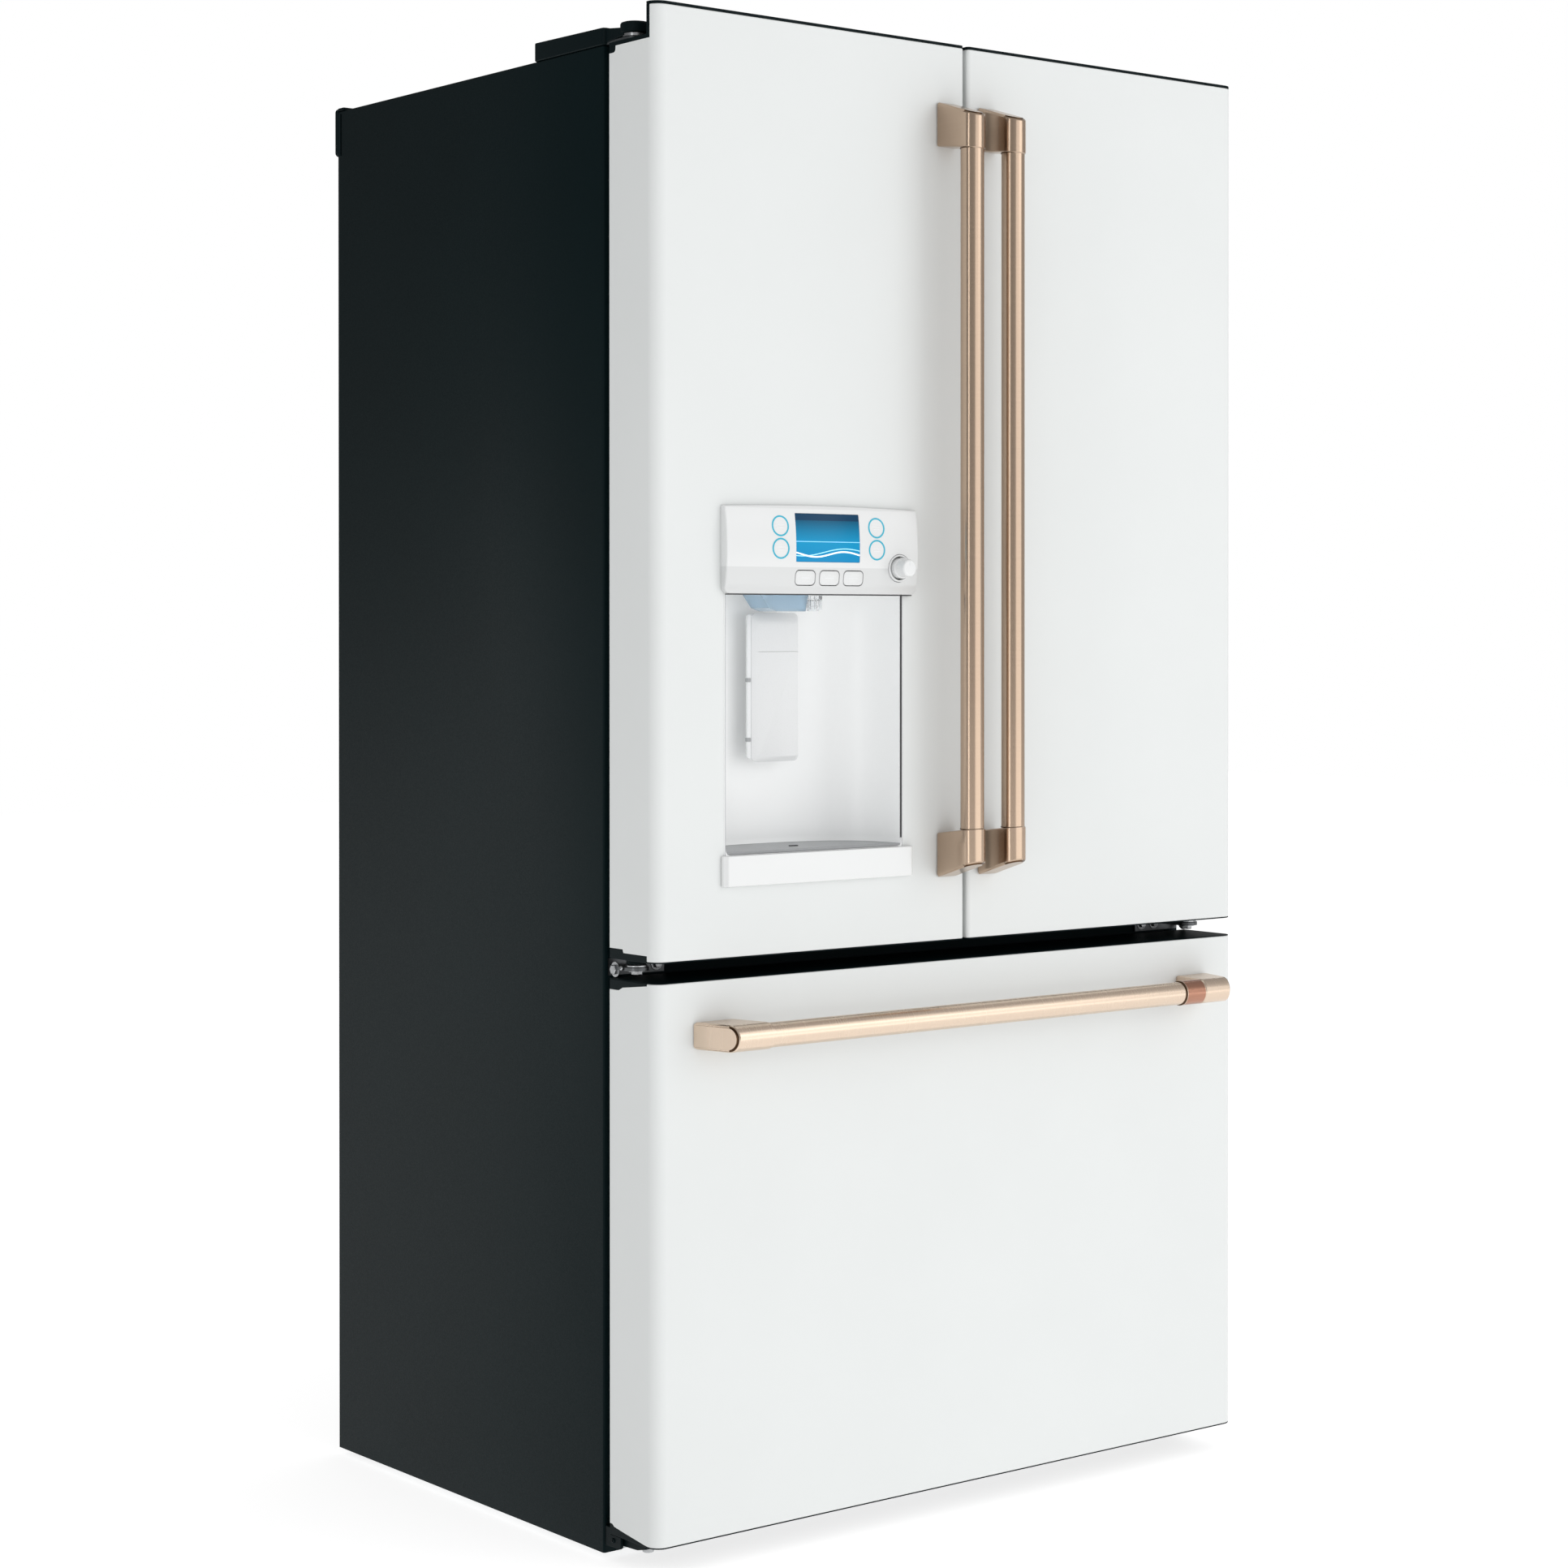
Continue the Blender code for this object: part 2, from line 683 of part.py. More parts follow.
def rear_roller(side):
    axle_end = ROLLER_HALF + ROLLER_SIDE_GAP + ROLLER_RIB - RUNNING
    profile = [
        (ROLLER_AXLE, -axle_end),
        (ROLLER_AXLE, -ROLLER_HALF),
        (ROLLER_RADIUS - EDGE, -ROLLER_HALF),
        (ROLLER_RADIUS, -ROLLER_HALF + EDGE),
        (ROLLER_RADIUS, ROLLER_HALF - EDGE),
        (ROLLER_RADIUS - EDGE, ROLLER_HALF),
        (ROLLER_AXLE, ROLLER_HALF),
        (ROLLER_AXLE, axle_end),
    ]
    place = roller_place(side)
    roller = lathe(f"rear_roller_{side_name(side)}", profile, place, "X")
    hang_on(joint_empty(f"roller_axis_{side_name(side)}", place), [paint(roller, "black_plastic")])


# ---------------------------------------------------------------- cooling system

def comb(name, low, high, fins, backbone):
    """A finned block: upright plates standing on a backbone along its bottom."""
    pitch = (high[0] - low[0]) / (2 * fins - 1)
    outline = [(high[0], low[2]), (low[0], low[2])]
    for fin in range(fins):
        start = low[0] + 2 * fin * pitch
        if fin > 0:
            outline.append((start, low[2] + backbone))
        outline.append((start, high[2]))
        outline.append((start + pitch, high[2]))
        if fin < fins - 1:
            outline.append((start + pitch, low[2] + backbone))
    return prism(name, outline, "Y", low[1], high[1])


def fan_centre():
    return (FAN_X, MACHINE_MIDDLE, BASE_TOP + MACHINE_HEIGHT / 2)


def compressor():
    corner = COMPRESSOR_ROUND
    side = COMPRESSOR_RADIUS - corner
    foot = BASE_TOP + CLEAR
    profile = [(side / 2, CLEAR)]
    for start, level in ((-70, corner + CLEAR), (0, COMPRESSOR_HEIGHT - corner)):
        profile += arc(side, level, corner, start, start + 70, 4)
    profile.append((side / 2, COMPRESSOR_HEIGHT))
    centre = (MACHINE_HALF - COMPRESSOR_INSET, MACHINE_MIDDLE, foot)
    shell = lathe("compressor", profile, centre, "Z", 28)
    half_width, half_depth, thickness = COMPRESSOR_FEET
    feet = block(
        "compressor_feet",
        (centre[0] - half_width, centre[1] - half_depth, foot),
        (centre[0] + half_width, centre[1] + half_depth, foot + thickness),
    )
    return paint(fuse(shell, feet), "black_plastic")


def condenser():
    fins = comb(
        "condenser",
        (CONDENSER_LEFT, MACHINE_MIDDLE - CONDENSER_HALF_DEPTH, BASE_TOP + CLEAR),
        (CONDENSER_RIGHT, MACHINE_MIDDLE + CONDENSER_HALF_DEPTH, MACHINE_TOP - CONDENSER_DROP),
        9, 0.020,
    )
    motor = rod("fan_motor", FAN_HUB, "X", fan_centre(),
                CONDENSER_RIGHT - FAN_X - FAN_DEPTH / 2, -FAN_DEPTH / 2 - RUNNING)
    return paint(fuse(fins, motor), "galvanised")


def condenser_fan():
    centre = fan_centre()
    outline = []
    steps = 60
    blades = 5
    for step in range(steps):
        angle = 2 * math.pi * step / steps
        lobe = max(0.0, math.cos(blades * angle))
        radius = FAN_HUB + (FAN_RADIUS - FAN_HUB) * lobe ** 0.5
        outline.append((centre[1] + radius * math.cos(angle), centre[2] + radius * math.sin(angle)))
    low = centre[0] - FAN_DEPTH / 2
    fan = prism("condenser_fan", outline, "X", low, low + FAN_DEPTH)
    hang_on(joint_empty("fan_axis", centre), [paint(fan, "black_plastic")])


def machine_cover():
    edge = MACHINE_HALF - CLEAR
    cover = block("machine_cover", (-edge, CASE_BACK - BACK_SHEET, BASE_TOP + CLEAR),
                  (edge, CASE_BACK, MACHINE_TOP - CLEAR))
    for row in range(VENT_ROWS):
        level = BASE_TOP + VENT_RISE + row * VENT_PITCH
        for side in (-1, 1):
            ends = sorted((side * VENT_INNER, side * (MACHINE_HALF - VENT_INSET)))
            slot = block(f"vent_{side_name(side)}_{row}", (ends[0], CASE_BACK - PAST, level),
                         (ends[1], CASE_BACK + PAST, level + VENT_HEIGHT))
            cut(cover, slot)
    return paint(cover, "black_plastic")


def evaporator():
    back = FRESH_BACK - LINER - CLEAR
    low = (-EVAPORATOR_HALF, back - EVAPORATOR_DEPTH, STEP_Z + LINER + CLEAR)
    high = (EVAPORATOR_HALF, back, FREEZER_TOP - EVAPORATOR_DROP)
    return paint(comb("evaporator", low, high, 11, 0.012), "galvanised")


def evaporator_cover():
    face = FRESH_BACK - LINER - EVAPORATOR_DEPTH - EVAPORATOR_GAP
    edge = FREEZER_HALF - LINER - CLEAR
    cover = block(
        "evaporator_cover",
        (-edge, face, STEP_Z + LINER + CLEAR),
        (edge, face + BASE_WALL, FREEZER_TOP - LINER - CLEAR),
    )
    slot_low = FREEZER_TOP - EVAPORATOR_DROP
    for column in range(AIR_SLOTS):
        left = (column - (AIR_SLOTS - 1) / 2) * AIR_SLOT_PITCH - AIR_SLOT_WIDTH / 2
        slot = block(f"air_slot_{column}", (left, face - PAST, slot_low),
                     (left + AIR_SLOT_WIDTH, face + PAST, slot_low + AIR_SLOT_HEIGHT))
        cut(cover, slot)
    return paint(cover, "liner_white")


# ---------------------------------------------------------------- shelves and inner drawers

def glass_shelf(name, level):
    edge = FRESH_HALF - LINER - CLEAR
    plate = block(name, (-edge, SHELF_FRONT, level), (edge, SHELF_BACK, level + SHELF_GLASS))
    trim = block(
        f"{name}_trim",
        (-edge + LEDGE + CLEAR, SHELF_FRONT - TRIM_FORWARD, level - SHELF_TRIM + SHELF_GLASS),
        (edge - LEDGE - CLEAR, SHELF_FRONT + TRIM_OVER, level + SHELF_GLASS + EDGE),
    )
    return paint(fuse(plate, trim), "glass")


def open_box(name, low, high, wall):
    body = block(name, low, high)
    inside = block(
        f"{name}_inside",
        (low[0] + wall, low[1] + wall, low[2] + wall),
        (high[0] - wall, high[1] - wall, high[2] + PAST),
    )
    return cut(body, inside)


def crisper(side):
    outer = FRESH_HALF - LINER - LEDGE - 2 * CRISPER_GAP
    edges = sorted((side * CRISPER_GAP, side * outer))
    name = f"crisper_{side_name(side)}"
    low = (edges[0], SHELF_FRONT + CRISPER_SETBACK, CRISPER_BOTTOM)
    high = (edges[1], SHELF_BACK, CRISPER_BOTTOM + CRISPER_HEIGHT - SHELF_TRIM)
    box = paint(open_box(name, low, high, CRISPER_WALL), "clear_plastic")
    hang_on(joint_empty(f"{name}_slide", (sum(edges) / 2, low[1], low[2])), [box])


def slide_front():
    return CASE_FRONT + SLIDE_SETBACK


def slide_back():
    return STEP_Y - LINER - SLIDE_BACK_GAP


def slide_bottom():
    return FREEZER_BOTTOM + SLIDE_LEVEL


def drawer_slide(side):
    outer = FREEZER_HALF - LINER - SLIDE_SIDE_GAP
    edges = sorted((side * outer, side * (outer - SLIDE_THICK)))
    name = f"drawer_slide_{side_name(side)}"
    low = (edges[0], slide_front(), slide_bottom())
    high = (edges[1], slide_back(), slide_bottom() + SLIDE_HEIGHT)
    slide = block(name, low, high)
    groove_edges = sorted((side * (outer - SLIDE_THICK / 2), side * (outer - SLIDE_THICK - PAST)))
    groove = block(
        f"{name}_groove",
        (groove_edges[0], low[1] - PAST, low[2] + SLIDE_LIP),
        (groove_edges[1], high[1] + PAST, high[2] - SLIDE_LIP),
    )
    cut(slide, groove)
    hang_on(joint_empty(f"{name}_axis", low), [paint(slide, "galvanised")])


def freezer_basket():
    edge = FREEZER_HALF - LINER - BASKET_INSET
    bottom = FREEZER_BOTTOM + BASKET_LOW
    low = (-edge, DOOR_BACK + CLEAR, bottom)
    high = (edge, slide_back(), bottom + BASKET_HEIGHT)
    return paint(open_box("freezer_basket", low, high, BASKET_WALL), "clear_plastic")


# ---------------------------------------------------------------- hinges

def hinge_cover(side):
    label = side_name(side)
    pin_x = side * PIN_X
    outer = side * HALF
    edges = sorted((outer, side * (HALF - COVER_WIDTH)))
    bottom = CASE_TOP + CLEAR
    top = bottom + COVER_HEIGHT
    cover = block(f"hinge_cover_{label}", (edges[0], CASE_FRONT, bottom),
                  (edges[1], CASE_FRONT + COVER_LENGTH, top))
    tongue = block(
        f"cover_tongue_{label}",
        (pin_x - COVER_KNUCKLE, PIN_Y, bottom),
        (pin_x + COVER_KNUCKLE, CASE_FRONT + COVER_WALL, top - EDGE),
    )
    knuckle = rod(f"cover_knuckle_{label}", COVER_KNUCKLE, "Z", (pin_x, PIN_Y, 0.0), bottom, top)
    fuse(cover, tongue, knuckle)
    plate_edges = sorted((side * (HALF - COVER_WALL), side * (HALF - TOP_HINGE_WIDTH - COVER_WALL)))
    pocket = block(
        f"cover_pocket_{label}",
        (plate_edges[0], CASE_FRONT + COVER_FRONT_WALL, bottom - PAST),
        (plate_edges[1], CASE_FRONT + TOP_HINGE_LENGTH + COVER_WALL, top - COVER_WALL),
    )
    arm_room = block(
        f"cover_arm_room_{label}",
        (pin_x - HINGE_HALF - CLEAR, PIN_Y, bottom - PAST),
        (pin_x + HINGE_HALF + CLEAR, CASE_FRONT + ARM_OVERLAP, bottom + HINGE_PLATE + 2 * CLEAR),
    )
    pin_room = rod(f"cover_pin_room_{label}", HINGE_HALF + CLEAR, "Z", (pin_x, PIN_Y, 0.0),
                   bottom - PAST, bottom + HINGE_PLATE + 2 * CLEAR)
    return paint(cut(cover, pocket, arm_room, pin_room), "black_plastic")


def top_hinge(side):
    label = side_name(side)
    pin_x = side * PIN_X
    bottom = CASE_TOP + CLEAR
    top = bottom + HINGE_PLATE
    edges = sorted((side * (HALF - COVER_WALL - CLEAR), side * (HALF - TOP_HINGE_WIDTH)))
    plate = block(f"top_hinge_{label}", (edges[0], CASE_FRONT + COVER_FRONT_WALL + GASKET_REST, bottom),
                  (edges[1], CASE_FRONT + TOP_HINGE_LENGTH, top))
    arm = block(f"hinge_arm_{label}", (pin_x - HINGE_HALF, PIN_Y, bottom),
                (pin_x + HINGE_HALF, CASE_FRONT + ARM_OVERLAP, top))
    eye = rod(f"hinge_eye_{label}", HINGE_HALF, "Z", (pin_x, PIN_Y, 0.0), bottom, top)
    pin = rod(f"hinge_pin_{label}", PIN_RADIUS, "Z", (pin_x, PIN_Y, 0.0),
              NOTCH_FLOOR - PIN_DEPTH, top - EDGE)
    return paint(fuse(plate, arm, eye, pin), "steel")


def middle_hinge(side):
    label = side_name(side)
    pin_x = side * PIN_X
    middle = DRAWER_TOP + MIDDLE_GAP / 2
    outer = HALF - MIDDLE_HINGE_INSET
    edges = sorted((side * outer, side * (outer - MIDDLE_HINGE_WIDTH)))
    leaf = block(f"middle_hinge_{label}",
                 (edges[0], CASE_FRONT - HINGE_PLATE - CLEAR, DRAWER_TOP + MIDDLE_HINGE_GAP),
                 (edges[1], CASE_FRONT - CLEAR, DOOR_BOTTOM - MIDDLE_HINGE_GAP))
    arm = block(f"middle_arm_{label}",
                (pin_x - HINGE_HALF, PIN_Y, middle - HINGE_PLATE / 2),
                (pin_x + HINGE_HALF, CASE_FRONT - HINGE_PLATE / 2, middle + HINGE_PLATE / 2))
    eye = rod(f"middle_eye_{label}", HINGE_HALF, "Z", (pin_x, PIN_Y, 0.0),
              middle - HINGE_PLATE / 2, middle + HINGE_PLATE / 2)
    pin = rod(f"middle_pin_{label}", PIN_RADIUS, "Z", (pin_x, PIN_Y, 0.0),
              middle, DOOR_BOTTOM + PIN_DEPTH)
    return paint(fuse(leaf, arm, eye, pin), "steel")


# ---------------------------------------------------------------- doors and drawer front

def corner_radii(side):
    """Radii of the left and right front corners; side 0 is the drawer."""
    left = FREE_EDGE_RADIUS if side > 0 else CORNER_RADIUS
    right = FREE_EDGE_RADIUS if side < 0 else CORNER_RADIUS
    return left, right


def front_outline(side, inset, back):
    """Plan view of a door: round front corners, square at the back."""
    left, right = door_span(side)
    left_round, right_round = [radius - inset for radius in corner_radii(side)]
    low = FRONT + inset
    points = [(right - inset, back), (left + inset, back)]
    points += arc(left + inset + left_round, low + left_round, left_round, 180, 270, CORNER_STEPS)
    points += arc(right - inset - right_round, low + right_round, right_round, 270, 360, CORNER_STEPS)
    return points


def notch(name, side):
    edges = sorted((side * (HALF + PAST), side * (HALF - NOTCH_WIDTH)))
    return block(name, (edges[0], DOOR_BACK - NOTCH_DEPTH, NOTCH_FLOOR),
                 (edges[1], DOOR_BACK + 2 * PAST, HEIGHT + PAST))


def front_skin(name, side, bottom, top):
    skin = prism(name, front_outline(side, 0.0, DOOR_BACK), "Z", bottom + END_CAP, top - END_CAP)
    inside = front_outline(side, SHEET, DOOR_BACK + PAST)
    return cut(skin, prism(f"{name}_inside", inside, "Z", bottom - PAST, top + PAST))


def front_core(name, side, bottom, top):
    """Foam, inner liner and the two end caps of a door or drawer front, as one solid."""
    outline = front_outline(side, SHEET + CLEAR, DOOR_BACK)
    core = prism(name, outline, "Z", bottom + END_CAP / 2, top - END_CAP / 2)
    cap_outline = front_outline(side, 0.0, DOOR_BACK + CLEAR / 3)
    low_cap = prism(f"{name}_low_cap", cap_outline, "Z", bottom, bottom + END_CAP - CLEAR)
    high_cap = prism(f"{name}_high_cap", cap_outline, "Z", top - END_CAP + CLEAR, top)
    return fuse(core, low_cap, high_cap)


def rear_cap(name, side, low, high, grow):
    left, right = door_span(side)
    return block(name, (left - grow, DOOR_BACK - REAR_CAP_DEPTH - grow, low - grow),
                 (right + grow, DOOR_BACK + CLEAR / 2 + grow, high + grow))


def door_span(side):
    """Left and right edges of a door; side 0 is the drawer, as wide as the case."""
    if side == 0:
        return -HALF, HALF
    edges = sorted((side * HALF, side * DOORS_APART / 2))
    return edges[0], edges[1]


def door_skin(side):
    name = f"{side_name(side)}_door_skin"
    skin = front_skin(name, side, DOOR_BOTTOM, HEIGHT)
    cap_room = rear_cap(f"{name}_cap_room", side, DOOR_BOTTOM, DOOR_BOTTOM + DOOR_REAR_CAP, CLEAR)
    cut(skin, cap_room, notch(f"{name}_notch", side))
    return skin


def dyke(name, left, right):
    ring = block(name, (left, DOOR_BACK - SHEET, DYKE_BOTTOM), (right, DOOR_BACK + DYKE_REACH, DYKE_TOP))
    hollow = block(
        f"{name}_hollow",
        (left + DYKE_WALL, DOOR_BACK - PAST, DYKE_BOTTOM + DYKE_WALL),
        (right - DYKE_WALL, DOOR_BACK + DYKE_REACH + PAST, DYKE_TOP - DYKE_WALL),
    )
    return cut(ring, hollow)


def pin_hole(name, side, low, high):
    return rod(name, PIN_RADIUS + RUNNING, "Z", (side * PIN_X, PIN_Y, 0.0), low, high)


def door_core(side):
    name = f"{side_name(side)}_door_core"
    core = front_core(name, side, DOOR_BOTTOM, HEIGHT)
    low_strip = rear_cap(f"{name}_rear_cap", side, DOOR_BOTTOM, DOOR_BOTTOM + DOOR_REAR_CAP, 0.0)
    free = LEFT_DYKE_FREE if side < 0 else RIGHT_DYKE_FREE
    dyke_edges = sorted((side * (HALF - DYKE_INSET), side * (DOORS_APART / 2 + free)))
    depth = PIN_DEPTH + BORE_PAST
    fuse(core, low_strip, dyke(f"{name}_dyke", *dyke_edges))
    cut(core, notch(f"{name}_notch", side))
    cut(core, pin_hole(f"{name}_top_bore", side, NOTCH_FLOOR - depth, HEIGHT))
    cut(core, pin_hole(f"{name}_low_bore", side, DOOR_BOTTOM - PAST, DOOR_BOTTOM + depth))
    return core


def rectangle_ring(name, left, right, low, high, width, front, back):
    ring = block(name, (left, front, low), (right, back, high))
    hole = block(f"{name}_hole", (left + width, front - PAST, low + width),
                 (right - width, back + PAST, high - width))
    return cut(ring, hole)


def door_gasket(side):
    edges = sorted((side * (HALF - GASKET_HINGE_INSET), side * (DOORS_APART / 2 + GASKET_FREE_INSET)))
    gasket = rectangle_ring(f"{side_name(side)}_door_gasket", edges[0], edges[1],
                            DOOR_BOTTOM + GASKET_END_INSET, GASKET_TOP, GASKET_WIDTH,
                            DOOR_BACK + CLEAR, GASKET_BACK)
    return paint(gasket, "grey_rubber")


def right_door():
    skin = paint(door_skin(1), "white_steel")
    core = paint(door_core(1), "black_plastic")
    pieces = [skin, core, door_gasket(1)] + door_handle(1)
    hang_on(joint_empty("right_door_axis", (PIN_X, PIN_Y, DOOR_BOTTOM)), pieces)


def drawer_front():
    skin = front_skin("drawer_skin", 0, DRAWER_BOTTOM, DRAWER_TOP)
    core = front_core("drawer_core", 0, DRAWER_BOTTOM, DRAWER_TOP)
    for label, low, high in (
        ("top", DRAWER_TOP - DRAWER_REAR_CAP, DRAWER_TOP),
        ("bottom", DRAWER_BOTTOM, DRAWER_BOTTOM + DRAWER_REAR_CAP),
    ):
        cut(skin, rear_cap(f"drawer_skin_{label}_room", 0, low, high, CLEAR))
        fuse(core, rear_cap(f"drawer_core_{label}_strip", 0, low, high, 0.0))
    edge = HALF - DRAWER_GASKET_SIDE
    gasket = rectangle_ring("drawer_gasket", -edge, edge,
                            DRAWER_BOTTOM + DRAWER_GASKET_BOTTOM, DRAWER_TOP - GASKET_END_INSET,
                            GASKET_WIDTH, DOOR_BACK + 2 * CLEAR, GASKET_BACK)
    paint(skin, "white_steel")
    paint(core, "black_plastic")
    paint(gasket, "grey_rubber")
    pieces = [skin, core, gasket, freezer_basket()] + drawer_handle()
    hang_on(joint_empty("freezer_drawer_axis", (0.0, DOOR_BACK, DRAWER_BOTTOM)), pieces)


# ---------------------------------------------------------------- handles

def post_side(base_outer, base_inner, front_outer, front_inner):
    """Side view of a handle post: distance along the bar, then depth."""
    tip = FRONT - HANDLE_REACH
    return [(base_outer, FRONT - CLEAR), (front_outer, tip),
            (front_inner, tip), (base_inner, FRONT - CLEAR)]


def post_section(middle):
    """Section of a post across the bar: flat sides and a half-round front."""
    axis_y = FRONT - BAR_AXIS
    points = [(middle + POST_HALF, FRONT + SHEET), (middle - POST_HALF, FRONT + SHEET)]
    points += arc(middle, axis_y, POST_HALF, 180, 360, 16)
    return points


def vertical_post(name, middle, side_view, bar_low, bar_high):
    levels = [point[0] for point in side_view]
    post = prism(name, [(depth, level) for level, depth in side_view], "X",
                 middle - POST_HALF - PAST, middle + POST_HALF + PAST)
    section = prism(f"{name}_section", post_section(middle), "Z", min(levels) - PAST, max(levels) + PAST)
    combine(post, "INTERSECT", [section])
    pocket = rod(f"{name}_pocket", BAR_RADIUS + CLEAR, "Z",
                 (middle, FRONT - BAR_AXIS, 0.0), bar_low, bar_high)
    return paint(cut(post, pocket), "bronze")


def door_handle(side):
    label = side_name(side)
    middle = side * BAR_FROM_GAP
    top = HEIGHT - POST_TOP_INSET
    bottom = DOOR_BOTTOM + POST_BOTTOM_INSET
    upper_inner = top - DOOR_POST_BASE
    lower_inner = bottom + DOOR_POST_BASE
    bar_low = lower_inner + DOOR_POST_SLEEVE - BAR_IN_POST
    bar_high = upper_inner - DOOR_POST_SLEEVE + BAR_IN_POST
    bar = rod(f"{label}_handle_bar", BAR_RADIUS, "Z", (middle, FRONT - BAR_AXIS, 0.0), bar_low, bar_high)
    upper = vertical_post(
        f"{label}_handle_post_upper", middle,
        post_side(top, upper_inner, top - DOOR_POST_SLANT, upper_inner - DOOR_POST_SLEEVE),
        bar_low - CLEAR, bar_high + CLEAR,
    )
    lower = vertical_post(
        f"{label}_handle_post_lower", middle,
        post_side(bottom, lower_inner, bottom + DOOR_POST_SLANT, lower_inner + DOOR_POST_SLEEVE),
        bar_low - CLEAR, bar_high + CLEAR,
    )
    return [paint(bar, "bronze"), upper, lower]


def drawer_handle():
    level = DRAWER_TOP - DRAWER_BAR_DROP
    bar_y = FRONT - BAR_AXIS
    base = HALF - DRAWER_POST_INSET
    sleeve = base - DRAWER_POST_BASE - DRAWER_POST_SLEEVE
    bar_end = sleeve + BAR_IN_POST
    bar = rod("drawer_handle_bar", BAR_RADIUS, "X", (0.0, bar_y, level), -bar_end, bar_end)
    pieces = [paint(bar, "bronze")]
    for side in (-1, 1):
        name = f"drawer_handle_post_{side_name(side)}"
        side_view = post_side(side * base, side * (base - DRAWER_POST_BASE),
                              side * (base - DRAWER_POST_SLANT), side * sleeve)
        post = prism(name, side_view, "Z", level - POST_HALF - PAST, level + POST_HALF + PAST)
        section_outline = [(depth, height) for height, depth in post_section(level)]
        section = prism(f"{name}_section", section_outline, "X", *sorted((0.0, side * (HALF + PAST))))
        combine(post, "INTERSECT", [section])
        pocket = rod(f"{name}_pocket", BAR_RADIUS + CLEAR, "X", (0.0, bar_y, level),
                     -bar_end - CLEAR, bar_end + CLEAR)
        pieces.append(paint(cut(post, pocket), "bronze"))
    return pieces


# ---------------------------------------------------------------- dispenser

def well_outline(grow, front):
    """Plan view of the dispenser recess: short straight sides and a round back."""
    half = WELL_WIDTH / 2 + grow
    shoulder = FRONT + WELL_SIDE
    depth = WELL_DEPTH - WELL_SIDE + grow
    power = 2 / WELL_ROUNDNESS
    points = [(WELL_X + half, front)]
    for step in range(WELL_STEPS + 1):
        angle = math.pi * step / WELL_STEPS
        cosine = math.cos(angle)
        across = math.copysign(abs(cosine) ** power, cosine)
        points.append((WELL_X + half * across, shoulder + depth * abs(math.sin(angle)) ** power))
    points.append((WELL_X - half, front))
    return points


def dispenser_well():
    well = prism("dispenser_well", well_outline(LINER, FRONT), "Z", WELL_BOTTOM - LINER, WELL_TOP + LINER)
    inside = prism("well_inside", well_outline(0.0, FRONT - PAST), "Z", WELL_BOTTOM, WELL_TOP)
    return paint(cut(well, inside), "white_plastic")


def well_window(name):
    grow = LINER + CLEAR
    return block(
        name,
        (WELL_X - WELL_WIDTH / 2 - grow, FRONT - PAST, WELL_BOTTOM - grow),
        (WELL_X + WELL_WIDTH / 2 + grow, FRONT + WELL_SIDE, WELL_TOP + grow),
    )


def well_room(name):
    grow = LINER + CLEAR
    return prism(name, well_outline(grow, FRONT - PAST), "Z", WELL_BOTTOM - grow, WELL_TOP + grow)


def dispenser_bulge(name):
    return block(
        name,
        (LEFT_SIDE + DYKE_INSET + DYKE_WALL / 2, DOOR_BACK - SHEET, WELL_BOTTOM - BULGE_MARGIN),
        (-DOORS_APART / 2 - LEFT_DYKE_FREE - DYKE_WALL / 2, DOOR_BACK + DYKE_REACH - SHEET,
         WELL_TOP + BULGE_MARGIN),
    )


def panel_depth(level):
    """How far the fascia stands in front of the door at a height."""
    share = (level - PANEL_MIDDLE) / (PANEL_HEIGHT / 2)
    return PANEL_EDGE + (PANEL_PROUD - PANEL_EDGE) * (1 - share * share)


def bowed_slab(name, left, right, low, high, back, steps):
    """A slab with a flat back whose front follows the fascia's bow."""
    outline = [(FRONT - back, high), (FRONT - back, low)]
    for step in range(steps + 1):
        level = low + (high - low) * step / steps
        outline.append((FRONT - panel_depth(level), level))
    return prism(name, outline, "X", left, right)


def key_places():
    return [PANEL_LEFT + KEY_INSET + KEY_PITCH * index for index in range(KEY_COUNT)]


def dispenser_panel():
    panel = bowed_slab("dispenser_panel", PANEL_LEFT, PANEL_LEFT + PANEL_WIDTH,
                       WELL_TOP, WELL_TOP + PANEL_HEIGHT, CLEAR, 10)
    screen_left = PANEL_LEFT + SCREEN_INSET
    screen_low = WELL_TOP + SCREEN_RISE
    window = block(
        "screen_window",
        (screen_left - CLEAR, FRONT - PAST, screen_low - CLEAR),
        (screen_left + SCREEN_WIDTH + CLEAR, FRONT - PANEL_BACK, screen_low + SCREEN_HEIGHT + CLEAR),
    )
    dial_hole = rod("dial_hole", DIAL_RING + RUNNING, "Y",
                    (PANEL_LEFT + DIAL_INSET, FRONT, WELL_TOP + DIAL_RISE), -PAST, -PANEL_BACK)
    cut(panel, window, dial_hole)
    level = WELL_TOP + KEY_RISE
    for index, place in enumerate(key_places()):
        room = block(
            f"key_room_{index + 1}",
            (place - KEY_WIDTH / 2 - RUNNING, FRONT - PAST, level - KEY_HEIGHT / 2 - RUNNING),
            (place + KEY_WIDTH / 2 + RUNNING, FRONT - KEY_BACK + KEY_TRAVEL + CLEAR,
             level + KEY_HEIGHT / 2 + RUNNING),
        )
        cut(panel, room)
    return paint(panel, "white_plastic")


def dispenser_screen():
    left = PANEL_LEFT + SCREEN_INSET
    low = WELL_TOP + SCREEN_RISE
    screen = bowed_slab("dispenser_screen", left, left + SCREEN_WIDTH, low, low + SCREEN_HEIGHT,
                        PANEL_BACK + CLEAR, 6)
    return paint(screen, "display")


